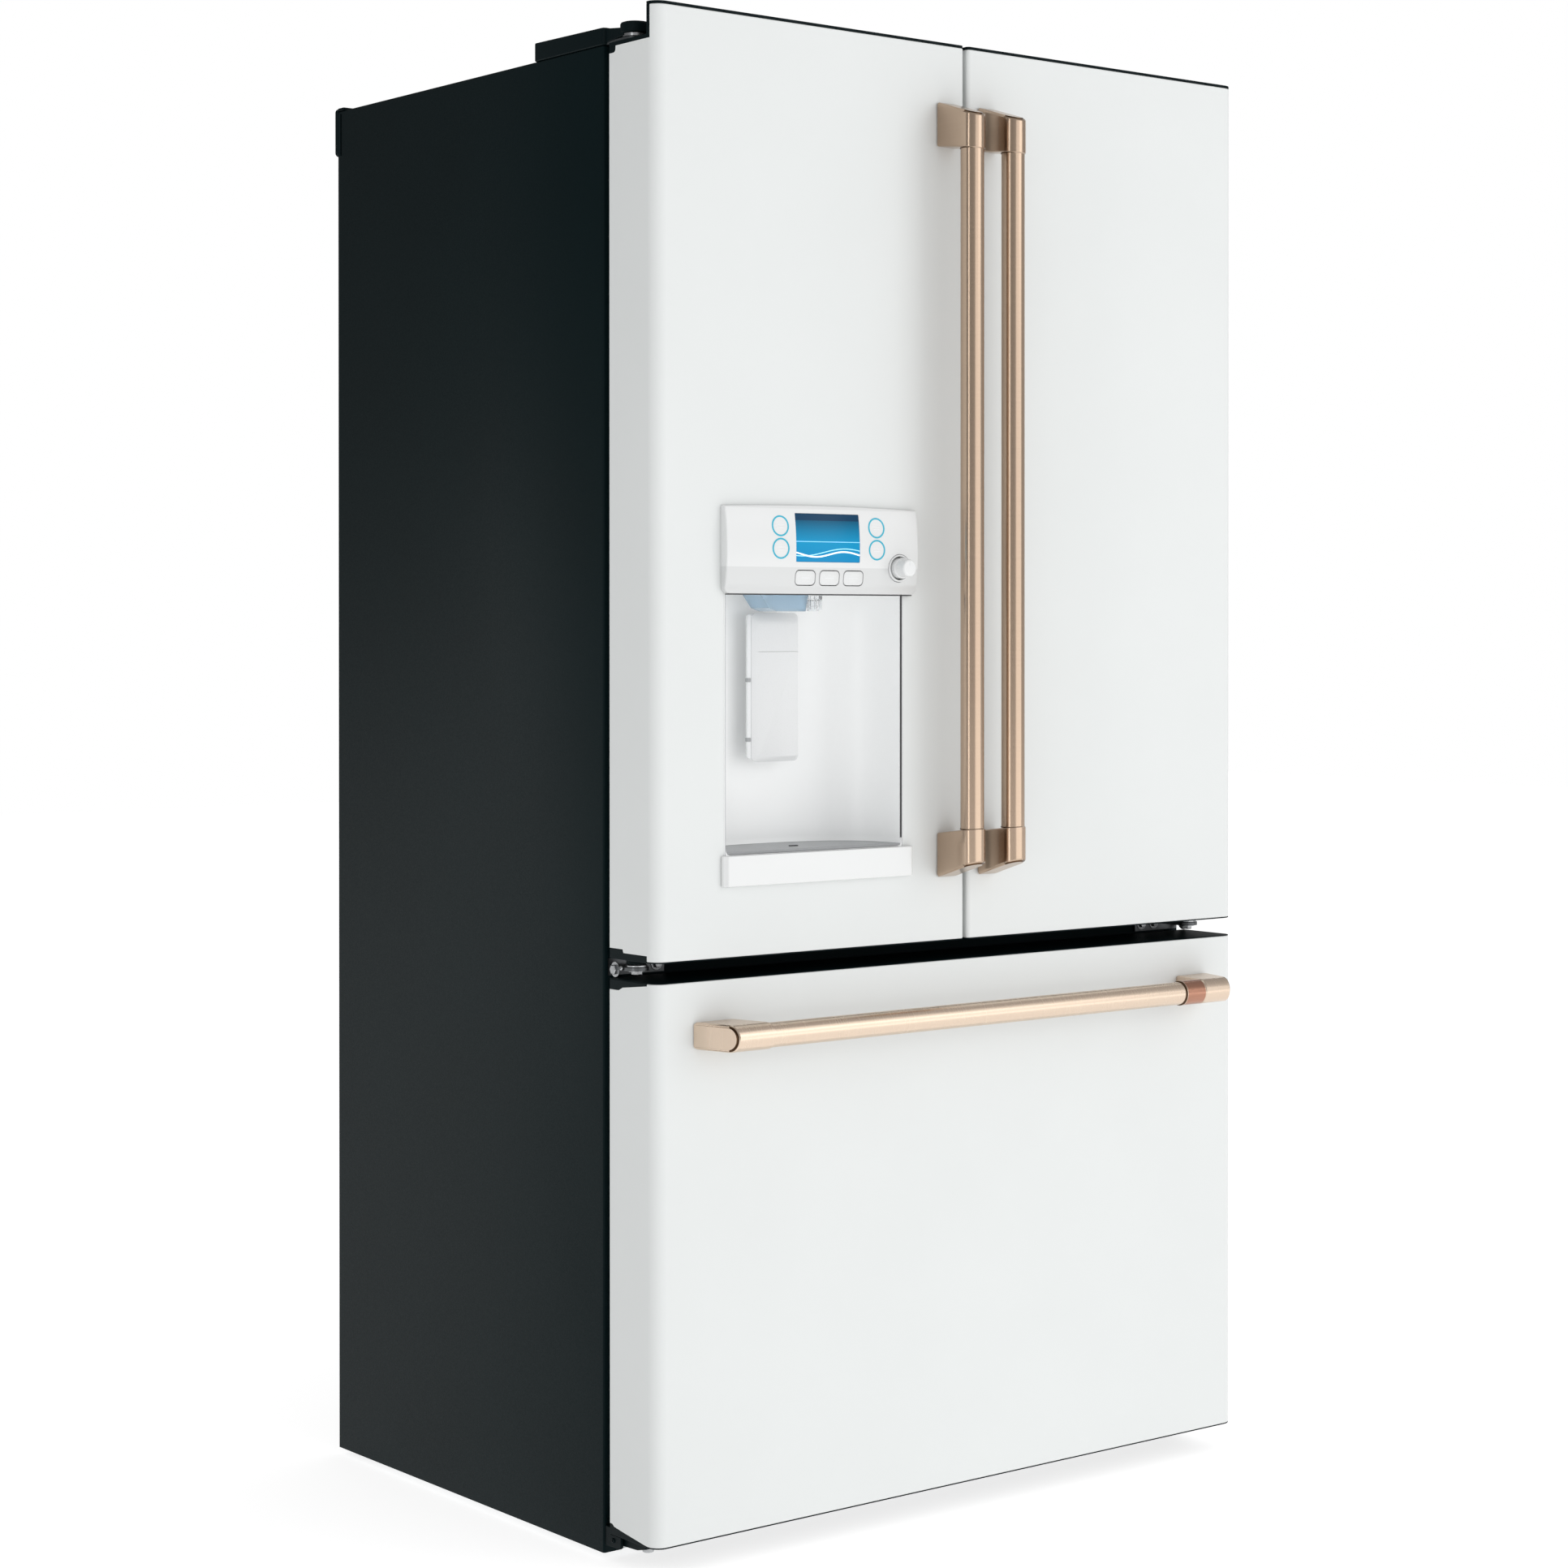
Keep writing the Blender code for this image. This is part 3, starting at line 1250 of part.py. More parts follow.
def dispenser_dial():
    place = (PANEL_LEFT + DIAL_INSET, FRONT, WELL_TOP + DIAL_RISE)
    rim = panel_depth(place[2]) + SHEET
    profile = [
        (DIAL_RING, -PANEL_BACK - CLEAR),
        (DIAL_RING, -rim),
        (DIAL_RADIUS, -rim),
        (DIAL_RADIUS, -DIAL_REACH + DIAL_EDGE),
        (DIAL_RADIUS - DIAL_EDGE, -DIAL_REACH),
    ]
    dial = lathe("dispenser_dial", profile, place, "Y")
    empty = joint_empty("dial_axis", place)
    hang_on(empty, [paint(dial, "white_plastic")])
    return empty


def dispenser_keys():
    level = WELL_TOP + KEY_RISE
    front = FRONT - panel_depth(level) - KEY_PROUD
    empties = []
    for index, place in enumerate(key_places()):
        key = block(
            f"dispenser_key_{index + 1}",
            (place - KEY_WIDTH / 2, front, level - KEY_HEIGHT / 2),
            (place + KEY_WIDTH / 2, FRONT - KEY_BACK - CLEAR, level + KEY_HEIGHT / 2),
        )
        empty = joint_empty(f"key_{index + 1}_slide", (place, front, level))
        hang_on(empty, [paint(key, "white_plastic")])
        empties.append(empty)
    return empties


def dispenser_paddle():
    low = WELL_BOTTOM + PADDLE_RISE
    front = FRONT + PADDLE_FRONT
    paddle = block("dispenser_paddle", (WELL_X - PADDLE_WIDTH / 2, front, low),
                   (WELL_X + PADDLE_WIDTH / 2, front + PADDLE_THICK, low + PADDLE_HEIGHT))
    empty = joint_empty("paddle_pivot", (WELL_X, PADDLE_PIVOT_Y, PADDLE_PIVOT_Z))
    hang_on(empty, [paint(paddle, "white_plastic")])
    return empty


def dispenser_chute():
    top = WELL_TOP - CLEAR
    front = FRONT + CHUTE_FRONT
    narrow = CHUTE_WIDTH / 2 - CHUTE_SLOPE
    outline = [
        (WELL_X - narrow, top - CHUTE_HEIGHT), (WELL_X + narrow, top - CHUTE_HEIGHT),
        (WELL_X + CHUTE_WIDTH / 2, top), (WELL_X - CHUTE_WIDTH / 2, top),
    ]
    chute = prism("dispenser_chute", outline, "Y", front, front + CHUTE_DEPTH)
    throat = block("chute_throat",
                   (WELL_X - narrow + CHUTE_WALL, front + CHUTE_WALL, top - PAST - CHUTE_HEIGHT),
                   (WELL_X + narrow - CHUTE_WALL, front + CHUTE_DEPTH - CHUTE_WALL, top + PAST))
    return paint(cut(chute, throat), "clear_plastic")


def dispenser_tray():
    outline = well_outline(-TRAY_GAP, FRONT + TRAY_GAP)
    tray = prism("dispenser_tray", outline, "Z", WELL_BOTTOM + CLEAR, WELL_BOTTOM + CLEAR + TRAY_THICK)
    return paint(tray, "grey_plastic")


def dispenser_sill():
    left = PANEL_LEFT
    right = PANEL_LEFT + SILL_WIDTH
    outline = [
        (left, FRONT - CLEAR), (left, FRONT - SILL_PROUD / 2), (left + SILL_PROUD / 2, FRONT - SILL_PROUD),
        (right - SILL_PROUD / 2, FRONT - SILL_PROUD), (right, FRONT - SILL_PROUD / 2), (right, FRONT - CLEAR),
    ]
    body = prism("dispenser_sill", outline, "Z", WELL_BOTTOM - SILL_HEIGHT, WELL_BOTTOM)
    return paint(body, "white_plastic")


# ---------------------------------------------------------------- left door

def flap_ear(name, low, high):
    return block(name, (-FLAP_LEFT, DOOR_BACK - SHEET, low),
                 (-FLAP_PIVOT + EAR_WALL, FLAP_PIVOT_Y + EAR_WALL, high))


def mullion_flap():
    flap = block("mullion_flap", (-FLAP_LEFT, FLAP_FRONT, FLAP_BOTTOM),
                 (-FLAP_RIGHT, FLAP_FRONT + FLAP_THICK, FLAP_TOP))
    pin = rod("flap_pin", FLAP_PIN, "Z", (-FLAP_PIVOT, FLAP_PIVOT_Y, 0.0),
              FLAP_BOTTOM - FLAP_PIN_REACH, FLAP_TOP + FLAP_PIN_REACH, 16)
    empty = joint_empty("flap_axis", (-FLAP_PIVOT, FLAP_PIVOT_Y, FLAP_BOTTOM))
    hang_on(empty, [paint(fuse(flap, pin), "grey_plastic")])
    return empty


def left_door():
    skin = paint(cut(door_skin(-1), well_window("skin_window")), "white_steel")
    core = door_core(-1)
    fuse(core, dispenser_bulge("core_bulge"))
    low_ear = FLAP_BOTTOM - EAR_GAP
    high_ear = FLAP_TOP + EAR_GAP
    fuse(core, flap_ear("flap_ear_low", low_ear - EAR_HEIGHT, low_ear))
    fuse(core, flap_ear("flap_ear_high", high_ear, high_ear + EAR_HEIGHT))
    cut(core, well_room("core_well_room"))
    reach = FLAP_PIN_REACH + BORE_PAST
    cut(core, rod("flap_bore", FLAP_PIN + RUNNING, "Z", (-FLAP_PIVOT, FLAP_PIVOT_Y, 0.0),
                  FLAP_BOTTOM - reach, FLAP_TOP + reach, 16))
    paint(core, "black_plastic")
    pieces = [
        skin, core, door_gasket(-1), dispenser_well(), dispenser_panel(), dispenser_screen(),
        dispenser_chute(), dispenser_tray(), dispenser_sill(),
    ]
    pieces += door_handle(-1)
    axis = joint_empty("left_door_axis", (-PIN_X, PIN_Y, DOOR_BOTTOM))
    hang_on(axis, pieces)
    hang_on(axis, [mullion_flap(), dispenser_dial(), dispenser_paddle()] + dispenser_keys())


def cabinet():
    outer_wrapper()
    cabinet_foam()
    fresh_food_liner()
    freezer_liner()
    center_rail()
    back_panel()
    base_frame()
    machine_cover()
    glass_shelf("fresh_food_shelf", SHELF_LEVEL)
    glass_shelf("crisper_cover", CRISPER_COVER_LEVEL)


def cooling_system():
    compressor()
    condenser()
    condenser_fan()
    evaporator()
    evaporator_cover()


def main():
    clear_scene()
    cabinet()
    cooling_system()
    for side in (-1, 1):
        leveling_leg(side)
        rear_roller(side)
        crisper(side)
        drawer_slide(side)
        top_hinge(side)
        hinge_cover(side)
        middle_hinge(side)
    left_door()
    right_door()
    drawer_front()


main()
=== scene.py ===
"""Looks of the french door refrigerator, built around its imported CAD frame.

Metres, in the same frame as the CAD: the doors face -Y, +Z is up and the floor is at 0.
"""
import math

import bmesh
import bpy
from mathutils import Matrix, Vector


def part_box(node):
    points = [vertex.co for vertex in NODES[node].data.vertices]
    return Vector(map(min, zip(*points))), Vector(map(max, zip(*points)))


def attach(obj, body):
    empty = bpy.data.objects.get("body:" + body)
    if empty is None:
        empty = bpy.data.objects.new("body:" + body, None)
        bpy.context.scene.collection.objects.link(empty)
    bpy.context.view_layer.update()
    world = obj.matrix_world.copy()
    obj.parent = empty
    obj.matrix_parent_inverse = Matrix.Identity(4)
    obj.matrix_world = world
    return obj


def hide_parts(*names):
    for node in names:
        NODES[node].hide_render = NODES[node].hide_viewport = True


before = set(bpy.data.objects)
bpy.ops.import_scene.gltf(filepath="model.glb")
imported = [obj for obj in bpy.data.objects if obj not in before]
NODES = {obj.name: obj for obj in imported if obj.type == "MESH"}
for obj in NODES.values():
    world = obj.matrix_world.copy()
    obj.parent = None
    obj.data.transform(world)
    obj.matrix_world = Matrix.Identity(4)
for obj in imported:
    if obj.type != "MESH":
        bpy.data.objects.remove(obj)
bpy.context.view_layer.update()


WRAP_LOW, WRAP_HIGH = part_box("outer_wrapper")
DRAWER_LOW, DRAWER_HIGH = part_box("drawer_core")
LEFT_LOW, LEFT_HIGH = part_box("left_door_core")
SKIN_LOW, SKIN_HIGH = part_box("left_door_skin")
HALF = WRAP_HIGH.x
FRONT = SKIN_LOW.y
DOOR_BACK = SKIN_HIGH.y
CASE_FRONT, CASE_BACK = WRAP_LOW.y, WRAP_HIGH.y
CASE_BOTTOM, CASE_TOP = WRAP_LOW.z, WRAP_HIGH.z
DRAWER_BOTTOM, DRAWER_TOP = DRAWER_LOW.z, DRAWER_HIGH.z
DOOR_BOTTOM, HEIGHT = LEFT_LOW.z, LEFT_HIGH.z
GAP_HALF = -SKIN_HIGH.x

# Sizes repeated from the CAD source
CAP_TOP = 0.0034
CAP_LOW = 0.0014
DRAWER_CAP_TOP = 0.0010
NOTCH_DEPTH = 0.075
NOTCH_WIDTH = 0.075
NOTCH_FLOOR = HEIGHT - 0.0405
OUTER_ROUND = 0.016
FREE_ROUND = 0.005
PIN_X = HALF - 0.020
PIN_Y = DOOR_BACK - 0.025
SHEET = 0.0012
DOOR_REAR_CAP = 0.0126
DRAWER_REAR_CAP = 0.013
BAR_RADIUS = 0.01425
POST_HALF = 0.0155
BAR_Y = FRONT - 0.050
TIP_Y = BAR_Y - POST_HALF

TUB_WALL = 0.0025
CORNER_STEPS = 14
ROUND_STEPS = 48


# ---------------------------------------------------------------- materials

def link(tree, source, target):
    tree.links.new(source, target)


def add_node(tree, kind, **values):
    node = tree.nodes.new(kind)
    for key, value in values.items():
        if hasattr(node, key):
            setattr(node, key, value)
        else:
            node.inputs[key.replace("_", " ")].default_value = value
    return node


def blank_material(name):
    made = bpy.data.materials.new(name)
    made.use_nodes = True
    tree = made.node_tree
    return made, tree, tree.nodes["Principled BSDF"]


def noise_at(tree, scale, detail, stretch):
    place = add_node(tree, "ShaderNodeTexCoord")
    mapping = add_node(tree, "ShaderNodeMapping")
    mapping.inputs["Scale"].default_value = stretch
    link(tree, place.outputs["Object"], mapping.inputs["Vector"])
    noise = add_node(tree, "ShaderNodeTexNoise", Scale=scale, Detail=detail)
    link(tree, mapping.outputs["Vector"], noise.inputs["Vector"])
    return noise.outputs["Fac"]


def spread(tree, source, low, high):
    """Stretch the middle of a noise over a range."""
    node = add_node(tree, "ShaderNodeMapRange", From_Min=0.3, From_Max=0.7, To_Min=low, To_Max=high)
    link(tree, source, node.inputs["Value"])
    return node.outputs["Result"]


def mixed(tree, factor, first, second):
    """Blend two colours; each is a socket or three numbers."""
    mix = tree.nodes.new("ShaderNodeMix")
    mix.data_type = "RGBA"
    link(tree, factor, mix.inputs["Factor"])
    for key, colour in (("A", first), ("B", second)):
        if isinstance(colour, tuple):
            mix.inputs[key].default_value = (*colour, 1.0)
        else:
            link(tree, colour, mix.inputs[key])
    return mix.outputs["Result"]


def maths(tree, operation, *values):
    """Result of a maths node; each value is a socket or a number."""
    node = add_node(tree, "ShaderNodeMath", operation=operation)
    for entry, value in zip(node.inputs, values):
        if isinstance(value, (int, float)):
            entry.default_value = value
        else:
            link(tree, value, entry)
    return node.outputs[0]


def share_along(tree, axis, low, high):
    """0 to 1 between two places along an axis of the object."""
    place = add_node(tree, "ShaderNodeTexCoord")
    parts = add_node(tree, "ShaderNodeSeparateXYZ")
    link(tree, place.outputs["Object"], parts.inputs[0])
    share = add_node(tree, "ShaderNodeMapRange", From_Min=low, From_Max=high)
    link(tree, parts.outputs[axis], share.inputs["Value"])
    return share.outputs["Result"]


def add_grain(tree, shader, grain, roughness, swing, bump, stretch=(1, 1, 1)):
    """Uneven gloss and fine relief from one noise."""
    fine = noise_at(tree, grain, 2.0, stretch)
    link(tree, spread(tree, fine, roughness - swing, roughness + swing), shader.inputs["Roughness"])
    relief = add_node(tree, "ShaderNodeBump", Strength=bump, Distance=0.0005)
    link(tree, fine, relief.inputs["Height"])
    link(tree, relief.outputs["Normal"], shader.inputs["Normal"])


def finish_of(name, colour, roughness, metallic=0.0, mottle=0.03, patch=6.0, grain=900.0, bump=0.02,
              swing=0.04, stretch=(1, 1, 1), **sockets):
    """A painted, moulded or plated surface: slow colour drift, uneven gloss and fine grain."""
    made, tree, shader = blank_material(name)
    drift = noise_at(tree, patch, 3.0, stretch)
    dark = tuple(value * (1 - mottle) for value in colour)
    light = tuple(min(1.0, value * (1 + mottle)) for value in colour)
    link(tree, mixed(tree, spread(tree, drift, 0.0, 1.0), dark, light), shader.inputs["Base Color"])
    add_grain(tree, shader, grain, roughness, swing, bump, stretch)
    shader.inputs["Metallic"].default_value = metallic
    for key, value in sockets.items():
        shader.inputs[key.replace("_", " ")].default_value = value
    return made


DOOR_WHITE = finish_of("door_white", (0.745, 0.764, 0.760), 0.50, mottle=0.008, grain=1400, bump=0.05,
                       Specular_IOR_Level=0.3)
CASE_PAINT = finish_of("case_paint", (0.0018, 0.0078, 0.0092), 0.55, mottle=0.06, grain=700, bump=0.12,
                       Specular_IOR_Level=0.07)
CAP_BLACK = finish_of("cap_black", (0.0020, 0.0068, 0.0080), 0.46, mottle=0.08, grain=1600, bump=0.12,
                      Specular_IOR_Level=0.08)
GLOSS_WHITE = finish_of("gloss_white", (0.755, 0.765, 0.765), 0.18, mottle=0.006, grain=1200, bump=0.01,
                        Coat_Weight=0.3, Coat_Roughness=0.08)
PADDLE_WHITE = finish_of("paddle_white", (0.75, 0.76, 0.765), 0.3, mottle=0.006, grain=1200, bump=0.01)
KEY_WHITE = finish_of("key_white", (0.72, 0.73, 0.73), 0.25, mottle=0.006, grain=1200, bump=0.01)
PALE_WHITE = finish_of("pale_white", (0.78, 0.79, 0.80), 0.25, mottle=0.006, grain=1200, bump=0.01)
# The recess white is brighter than the other whites and glows a little: painted light that lifts the shade
# inside the recess.
WELL_WHITE_PAINTED_LIGHT = finish_of("well_white_painted_light", (0.88, 0.89, 0.89), 0.34, mottle=0.006, grain=1200, bump=0.02,
                       Emission_Color=(1.0, 1.0, 1.0, 1.0), Emission_Strength=0.06)
LINER_WHITE = finish_of("liner_white", (0.84, 0.86, 0.87), 0.35, mottle=0.01, grain=900, bump=0.05)
SEAL_GREY = finish_of("seal_grey", (0.55, 0.56, 0.56), 0.75, mottle=0.04, grain=1500, bump=0.25)
# Plain mid grey for the clips and the drip tray; on the key grooves it is painted shade.
GREY_AND_GROOVE_SHADE = finish_of("grey_and_groove_shade", (0.36, 0.37, 0.38), 0.5, mottle=0.02)
GRILLE_GREY = finish_of("grille_grey", (0.50, 0.51, 0.52), 0.45, mottle=0.04, grain=1500, bump=0.1)
SHADE_GREY = finish_of("shade_grey", (0.05, 0.052, 0.055), 0.7, mottle=0.05)
# Near-black used as painted shade in gaps.
PAINTED_SHADE_BLACK = finish_of("painted_shade_black", (0.0006, 0.0008, 0.0010), 0.8, mottle=0.1, grain=900, bump=0.1,
                      Specular_IOR_Level=0.0)
FLAP_GREY = finish_of("flap_grey", (0.60, 0.61, 0.62), 0.4, mottle=0.02, bump=0.06)
ZINC = finish_of("zinc_plate", (0.42, 0.43, 0.44), 0.30, 1.0, mottle=0.05, patch=120, bump=0.05)
PLATE_GREY = finish_of("plate_grey", (0.12, 0.125, 0.13), 0.34, 1.0, mottle=0.08, patch=80, bump=0.06)
HINGE_GREY = finish_of("hinge_grey", (0.10, 0.11, 0.115), 0.42, 0.7, mottle=0.08, patch=80, bump=0.1)
GALVANISED = finish_of("galvanised", (0.44, 0.46, 0.47), 0.42, 0.9, mottle=0.16, patch=60, grain=200,
                       bump=0.06)
COIL = finish_of("coil_metal", (0.55, 0.56, 0.56), 0.35, 1.0, mottle=0.08, patch=90, bump=0.05)
FOAM = finish_of("foam", (0.75, 0.66, 0.44), 0.9, mottle=0.12, patch=40, grain=300, bump=0.5)
COMPRESSOR_BLACK = finish_of("compressor_black", (0.015, 0.016, 0.017), 0.3, mottle=0.1, grain=500, bump=0.1)
TYRE = finish_of("roller_black", (0.02, 0.02, 0.021), 0.6, mottle=0.1, grain=800, bump=0.2)
BRONZE_UP = finish_of("bronze_brushed_up", (0.50, 0.375, 0.28), 0.22, 1.0, mottle=0.02, patch=2,
                      grain=2, bump=0.0, swing=0.006, stretch=(1, 1, 400))
# The bar along the drawer and its band rings get a lighter copy of the door bars' bronze: painted light on
# the drawer's bar.
BRONZE_ALONG_PAINTED_LIGHT = finish_of("bronze_brushed_along_painted_light", (0.72, 0.58, 0.46), 0.27, 1.0, mottle=0.02, patch=2,
                         grain=2, bump=0.0, swing=0.006, stretch=(400, 1, 1))
BRONZE_DARK = finish_of("bronze_chamfer", (0.11, 0.062, 0.034), 0.30, 1.0, mottle=0.1, patch=60, bump=0.05)
BRONZE_SEAM = finish_of("bronze_seam", (0.10, 0.06, 0.035), 0.45, 1.0, mottle=0.1)
COPPER = finish_of("copper_band", (0.44, 0.225, 0.155), 0.22, 1.0, mottle=0.06, patch=60, grain=500,
                   bump=0.06, stretch=(0.5, 10, 10))
CYAN = finish_of("ring_cyan", (0.01, 0.36, 0.50), 0.3, mottle=0.03, Emission_Color=(0.0, 0.45, 0.6, 1.0),
                 Emission_Strength=0.12)
FLOOR_WHITE = finish_of("floor_white", (0.60, 0.60, 0.60), 0.9, mottle=0.01, patch=2, grain=60, bump=0.02,
                        Specular_IOR_Level=0.0, Emission_Color=(1.0, 1.0, 1.0, 1.0), Emission_Strength=0.76)


def clear_material(name, colour, roughness, ior, alpha_tint=0.0):
    made, tree, shader = blank_material(name)
    drift = noise_at(tree, 20.0, 2.0, (1, 1, 1))
    paler = tuple(min(1.0, value * 1.02) for value in colour)
    link(tree, mixed(tree, drift, colour, paler), shader.inputs["Base Color"])
    fine = noise_at(tree, 500.0, 2.0, (1, 1, 1))
    link(tree, spread(tree, fine, roughness, roughness + 0.03), shader.inputs["Roughness"])
    shader.inputs["Transmission Weight"].default_value = 1.0 - alpha_tint
    shader.inputs["IOR"].default_value = ior
    return made


SHELF_GLASS = clear_material("shelf_glass", (0.90, 0.97, 0.95), 0.02, 1.45)
CLEAR = clear_material("clear_plastic", (0.95, 0.96, 0.97), 0.06, 1.40)
TUB_CLEAR = clear_material("tub_clear", (0.94, 0.96, 0.97), 0.08, 1.18, 0.30)
BLUE_CLEAR = clear_material("blue_clear", (0.66, 0.82, 0.94), 0.10, 1.30, 0.30)


def two_tone(name, level, blend, below, above, roughness):
    """Gloss plastic whose colour changes at a height."""
    made, tree, shader = blank_material(name)
    up = share_along(tree, "Z", level - blend, level + blend)
    link(tree, mixed(tree, up, below, above), shader.inputs["Base Color"])
    add_grain(tree, shader, 1200.0, roughness, 0.03, 0.01)
    return made


def wave_of(tree, across, offset, swing, turns, phase):
    """Height of a wave over the screen: offset + swing * sin(turns * across + phase)."""
    sine = maths(tree, "SINE", maths(tree, "MULTIPLY_ADD", across, turns, phase))
    return maths(tree, "MULTIPLY_ADD", sine, swing, offset)


def screen_material(low, high):
    """A lit display: blue gradient, darker header, thin rule and two light waves."""
    made, tree, shader = blank_material("display_glass")
    across = share_along(tree, "X", low.x, high.x)
    up = share_along(tree, "Z", low.z, high.z)
    ramp = add_node(tree, "ShaderNodeValToRGB")
    link(tree, up, ramp.inputs["Fac"])
    elements = ramp.color_ramp.elements
    for index, (position, colour) in enumerate((
            (0.0, (0.0, 0.17, 0.36)), (0.84, (0.0, 0.07, 0.14)), (0.38, (0.0, 0.20, 0.38)),
            (0.62, (0.0, 0.14, 0.27)))):
        element = elements[index] if index < 2 else elements.new(position)
        element.position = position
        element.color = (*colour, 1.0)
    low_wave = wave_of(tree, across, 0.16, 0.055, 7.0, 2.6)
    high_wave = wave_of(tree, across, 0.20, 0.080, 4.6, 4.3)
    picture = ramp.outputs["Color"]
    for middle, half_width, colour in ((0.93, 0.07, (0.0, 0.028, 0.07)), (0.42, 0.008, (0.22, 0.55, 0.85)),
                                       (high_wave, 0.009, (0.35, 0.72, 0.95)),
                                       (low_wave, 0.016, (0.85, 0.95, 1.0))):
        picture = mixed(tree, maths(tree, "COMPARE", up, middle, half_width), picture, colour)
    link(tree, picture, shader.inputs["Base Color"])
    link(tree, picture, shader.inputs["Emission Color"])
    shader.inputs["Specular IOR Level"].default_value = 0.2
    shader.inputs["Emission Strength"].default_value = 0.55
    shader.inputs["Roughness"].default_value = 0.3
    return made


# ---------------------------------------------------------------- mesh helpers

AXES = {"X": (1, 2, 0), "Y": (0, 2, 1), "Z": (0, 1, 2)}


def arc(centre_x, centre_y, radius, start, end, steps):
    points = []
    for step in range(steps + 1):
        angle = math.radians(start + (end - start) * step / steps)
        points.append((centre_x + radius * math.cos(angle), centre_y + radius * math.sin(angle)))
    return points


def rounded(left, right, low, high, radius, steps=6):
    """Outline of a rectangle with round corners, counter-clockwise from the lower left."""
    points = arc(left + radius, low + radius, radius, 180, 270, steps)
    points += arc(right - radius, low + radius, radius, 270, 360, steps)
    points += arc(right - radius, high - radius, radius, 0, 90, steps)
    points += arc(left + radius, high - radius, radius, 90, 180, steps)
    return points


def placed(outline, axis, level):
    """Points of an outline, given in the two other axes, at one level of an axis."""
    across, up, along = AXES[axis]
    loop = []
    for first, second in outline:
        point = [0.0, 0.0, 0.0]
        point[across] = first
        point[up] = second
        point[along] = level
        loop.append(Vector(point))
    return loop


def loft(loops, ring=False):
    """Skin over loops with the same number of points; closed at the ends, or round into a ring."""
    bm = bmesh.new()
    rings = [[bm.verts.new(point) for point in loop] for loop in loops]
    pairs = list(zip(rings, rings[1:]))
    if ring:
        pairs.append((rings[-1], rings[0]))
    else:
        bm.faces.new(rings[0])
        bm.faces.new(rings[-1])
    for lower, upper in pairs:
        for index in range(len(lower)):
            following = (index + 1) % len(lower)
            bm.faces.new((lower[index], lower[following], upper[following], upper[index]))
    return bm


def stack(axis, *levels, ring=False):
    """Loft through (outline, level) pairs along an axis."""
    return loft([placed(outline, axis, level) for outline, level in levels], ring)


def prism(outline, axis, low, high):
    return stack(axis, (outline, low), (outline, high))


def box(low, high):
    return prism([(low[0], low[1]), (high[0], low[1]), (high[0], high[1]), (low[0], high[1])],
                 "Z", low[2], high[2])


def lathe(profile, centre, axis, steps=ROUND_STEPS, ring=False):
    """Turn (radius, distance) points about an axis through the centre; ring closes a hollow profile."""
    loops = []
    across, up, along = AXES[axis]
    for radius, distance in profile:
        circle = [(centre[across] + x, centre[up] + y)
                  for x, y in arc(0.0, 0.0, radius, 0, 360 - 360 / steps, steps - 1)]
        loops.append(placed(circle, axis, centre[along] + distance))
    return loft(loops, ring)


def join(*meshes):
    """Put several bmeshes into the first one."""
    target = meshes[0]
    for other in meshes[1:]:
        copied = bpy.data.meshes.new("part")
        other.to_mesh(copied)
        other.free()
        target.from_mesh(copied)
        bpy.data.meshes.remove(copied)
    return target


def shape(bm, name="shape"):
    bmesh.ops.recalc_face_normals(bm, faces=bm.faces)
    mesh = bpy.data.meshes.new(name)
    bm.to_mesh(mesh)
    bm.free()
    obj = bpy.data.objects.new(name, mesh)
    bpy.context.scene.collection.objects.link(obj)
    return obj


def carve(bm, *cutters, operation="DIFFERENCE"):
    """Result of cutting bmeshes out of a bmesh, as a new bmesh."""
    body = shape(bm)
    tools = [shape(cutter, "cutter") for cutter in cutters]
    for tool in tools:
        modifier = body.modifiers.new("carve", "BOOLEAN")
        modifier.operation = operation
        modifier.object = tool
    bpy.context.view_layer.update()
    evaluated = body.evaluated_get(bpy.context.evaluated_depsgraph_get())
    mesh = bpy.data.meshes.new_from_object(evaluated)
    result = bmesh.new()
    result.from_mesh(mesh)
    for obj in [body] + tools:
        bpy.data.objects.remove(obj, do_unlink=True)
    return result


def piece(name, bm, material, body, bevel=0.0, segments=2, sharp=32.0, stands_for=()):
    """A finished piece of the visual model: smooth, bevelled, painted and riding on a body."""
    obj = shape(bm, name)
    obj.data.shade_smooth()
    obj.data.set_sharp_from_angle(angle=math.radians(sharp))
    obj.data.materials.append(material)
    if bevel:
        modifier = obj.modifiers.new("edges", "BEVEL")
        modifier.width = bevel
        modifier.segments = segments
        modifier.limit_method = "ANGLE"
        modifier.angle_limit = math.radians(35)
        modifier.harden_normals = True
    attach(obj, body)
    if stands_for:
        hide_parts(*stands_for)
    return obj


def dress(node, material, bevel=0.0):
    """Give a CAD node its finish, and softer edges where they show."""
    obj = NODES[node]
    obj.data.materials.clear()
    obj.data.materials.append(material)
    if bevel:
        modifier = obj.modifiers.new("edges", "BEVEL")
        modifier.width = bevel
        modifier.segments = 2
        modifier.limit_method = "ANGLE"
        modifier.angle_limit = math.radians(35)


def side_name(side):
    return "left" if side < 0 else "right"


def span(side, near, far):
    """Left and right x of something between two distances from the middle."""
    return tuple(sorted((side * near, side * far)))


def side_box(side, near, far, ends, levels):
    """A box between two distances from the middle, two places in depth and two heights."""
    left, right = span(side, near, far)
    return box((left, ends[0], levels[0]), (right, ends[1], levels[1]))


def plan_of(low, high, inset, radius):
    """Plan view of a box, moved inwards and with round corners."""
    return rounded(low.x + inset, high.x - inset, low.y + inset, high.y - inset, radius)


def front_middle(node):
    """Middle of a node as seen from the front."""
    low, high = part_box(node)
    return (low.x + high.x) / 2, (low.z + high.z) / 2


# ---------------------------------------------------------------- case

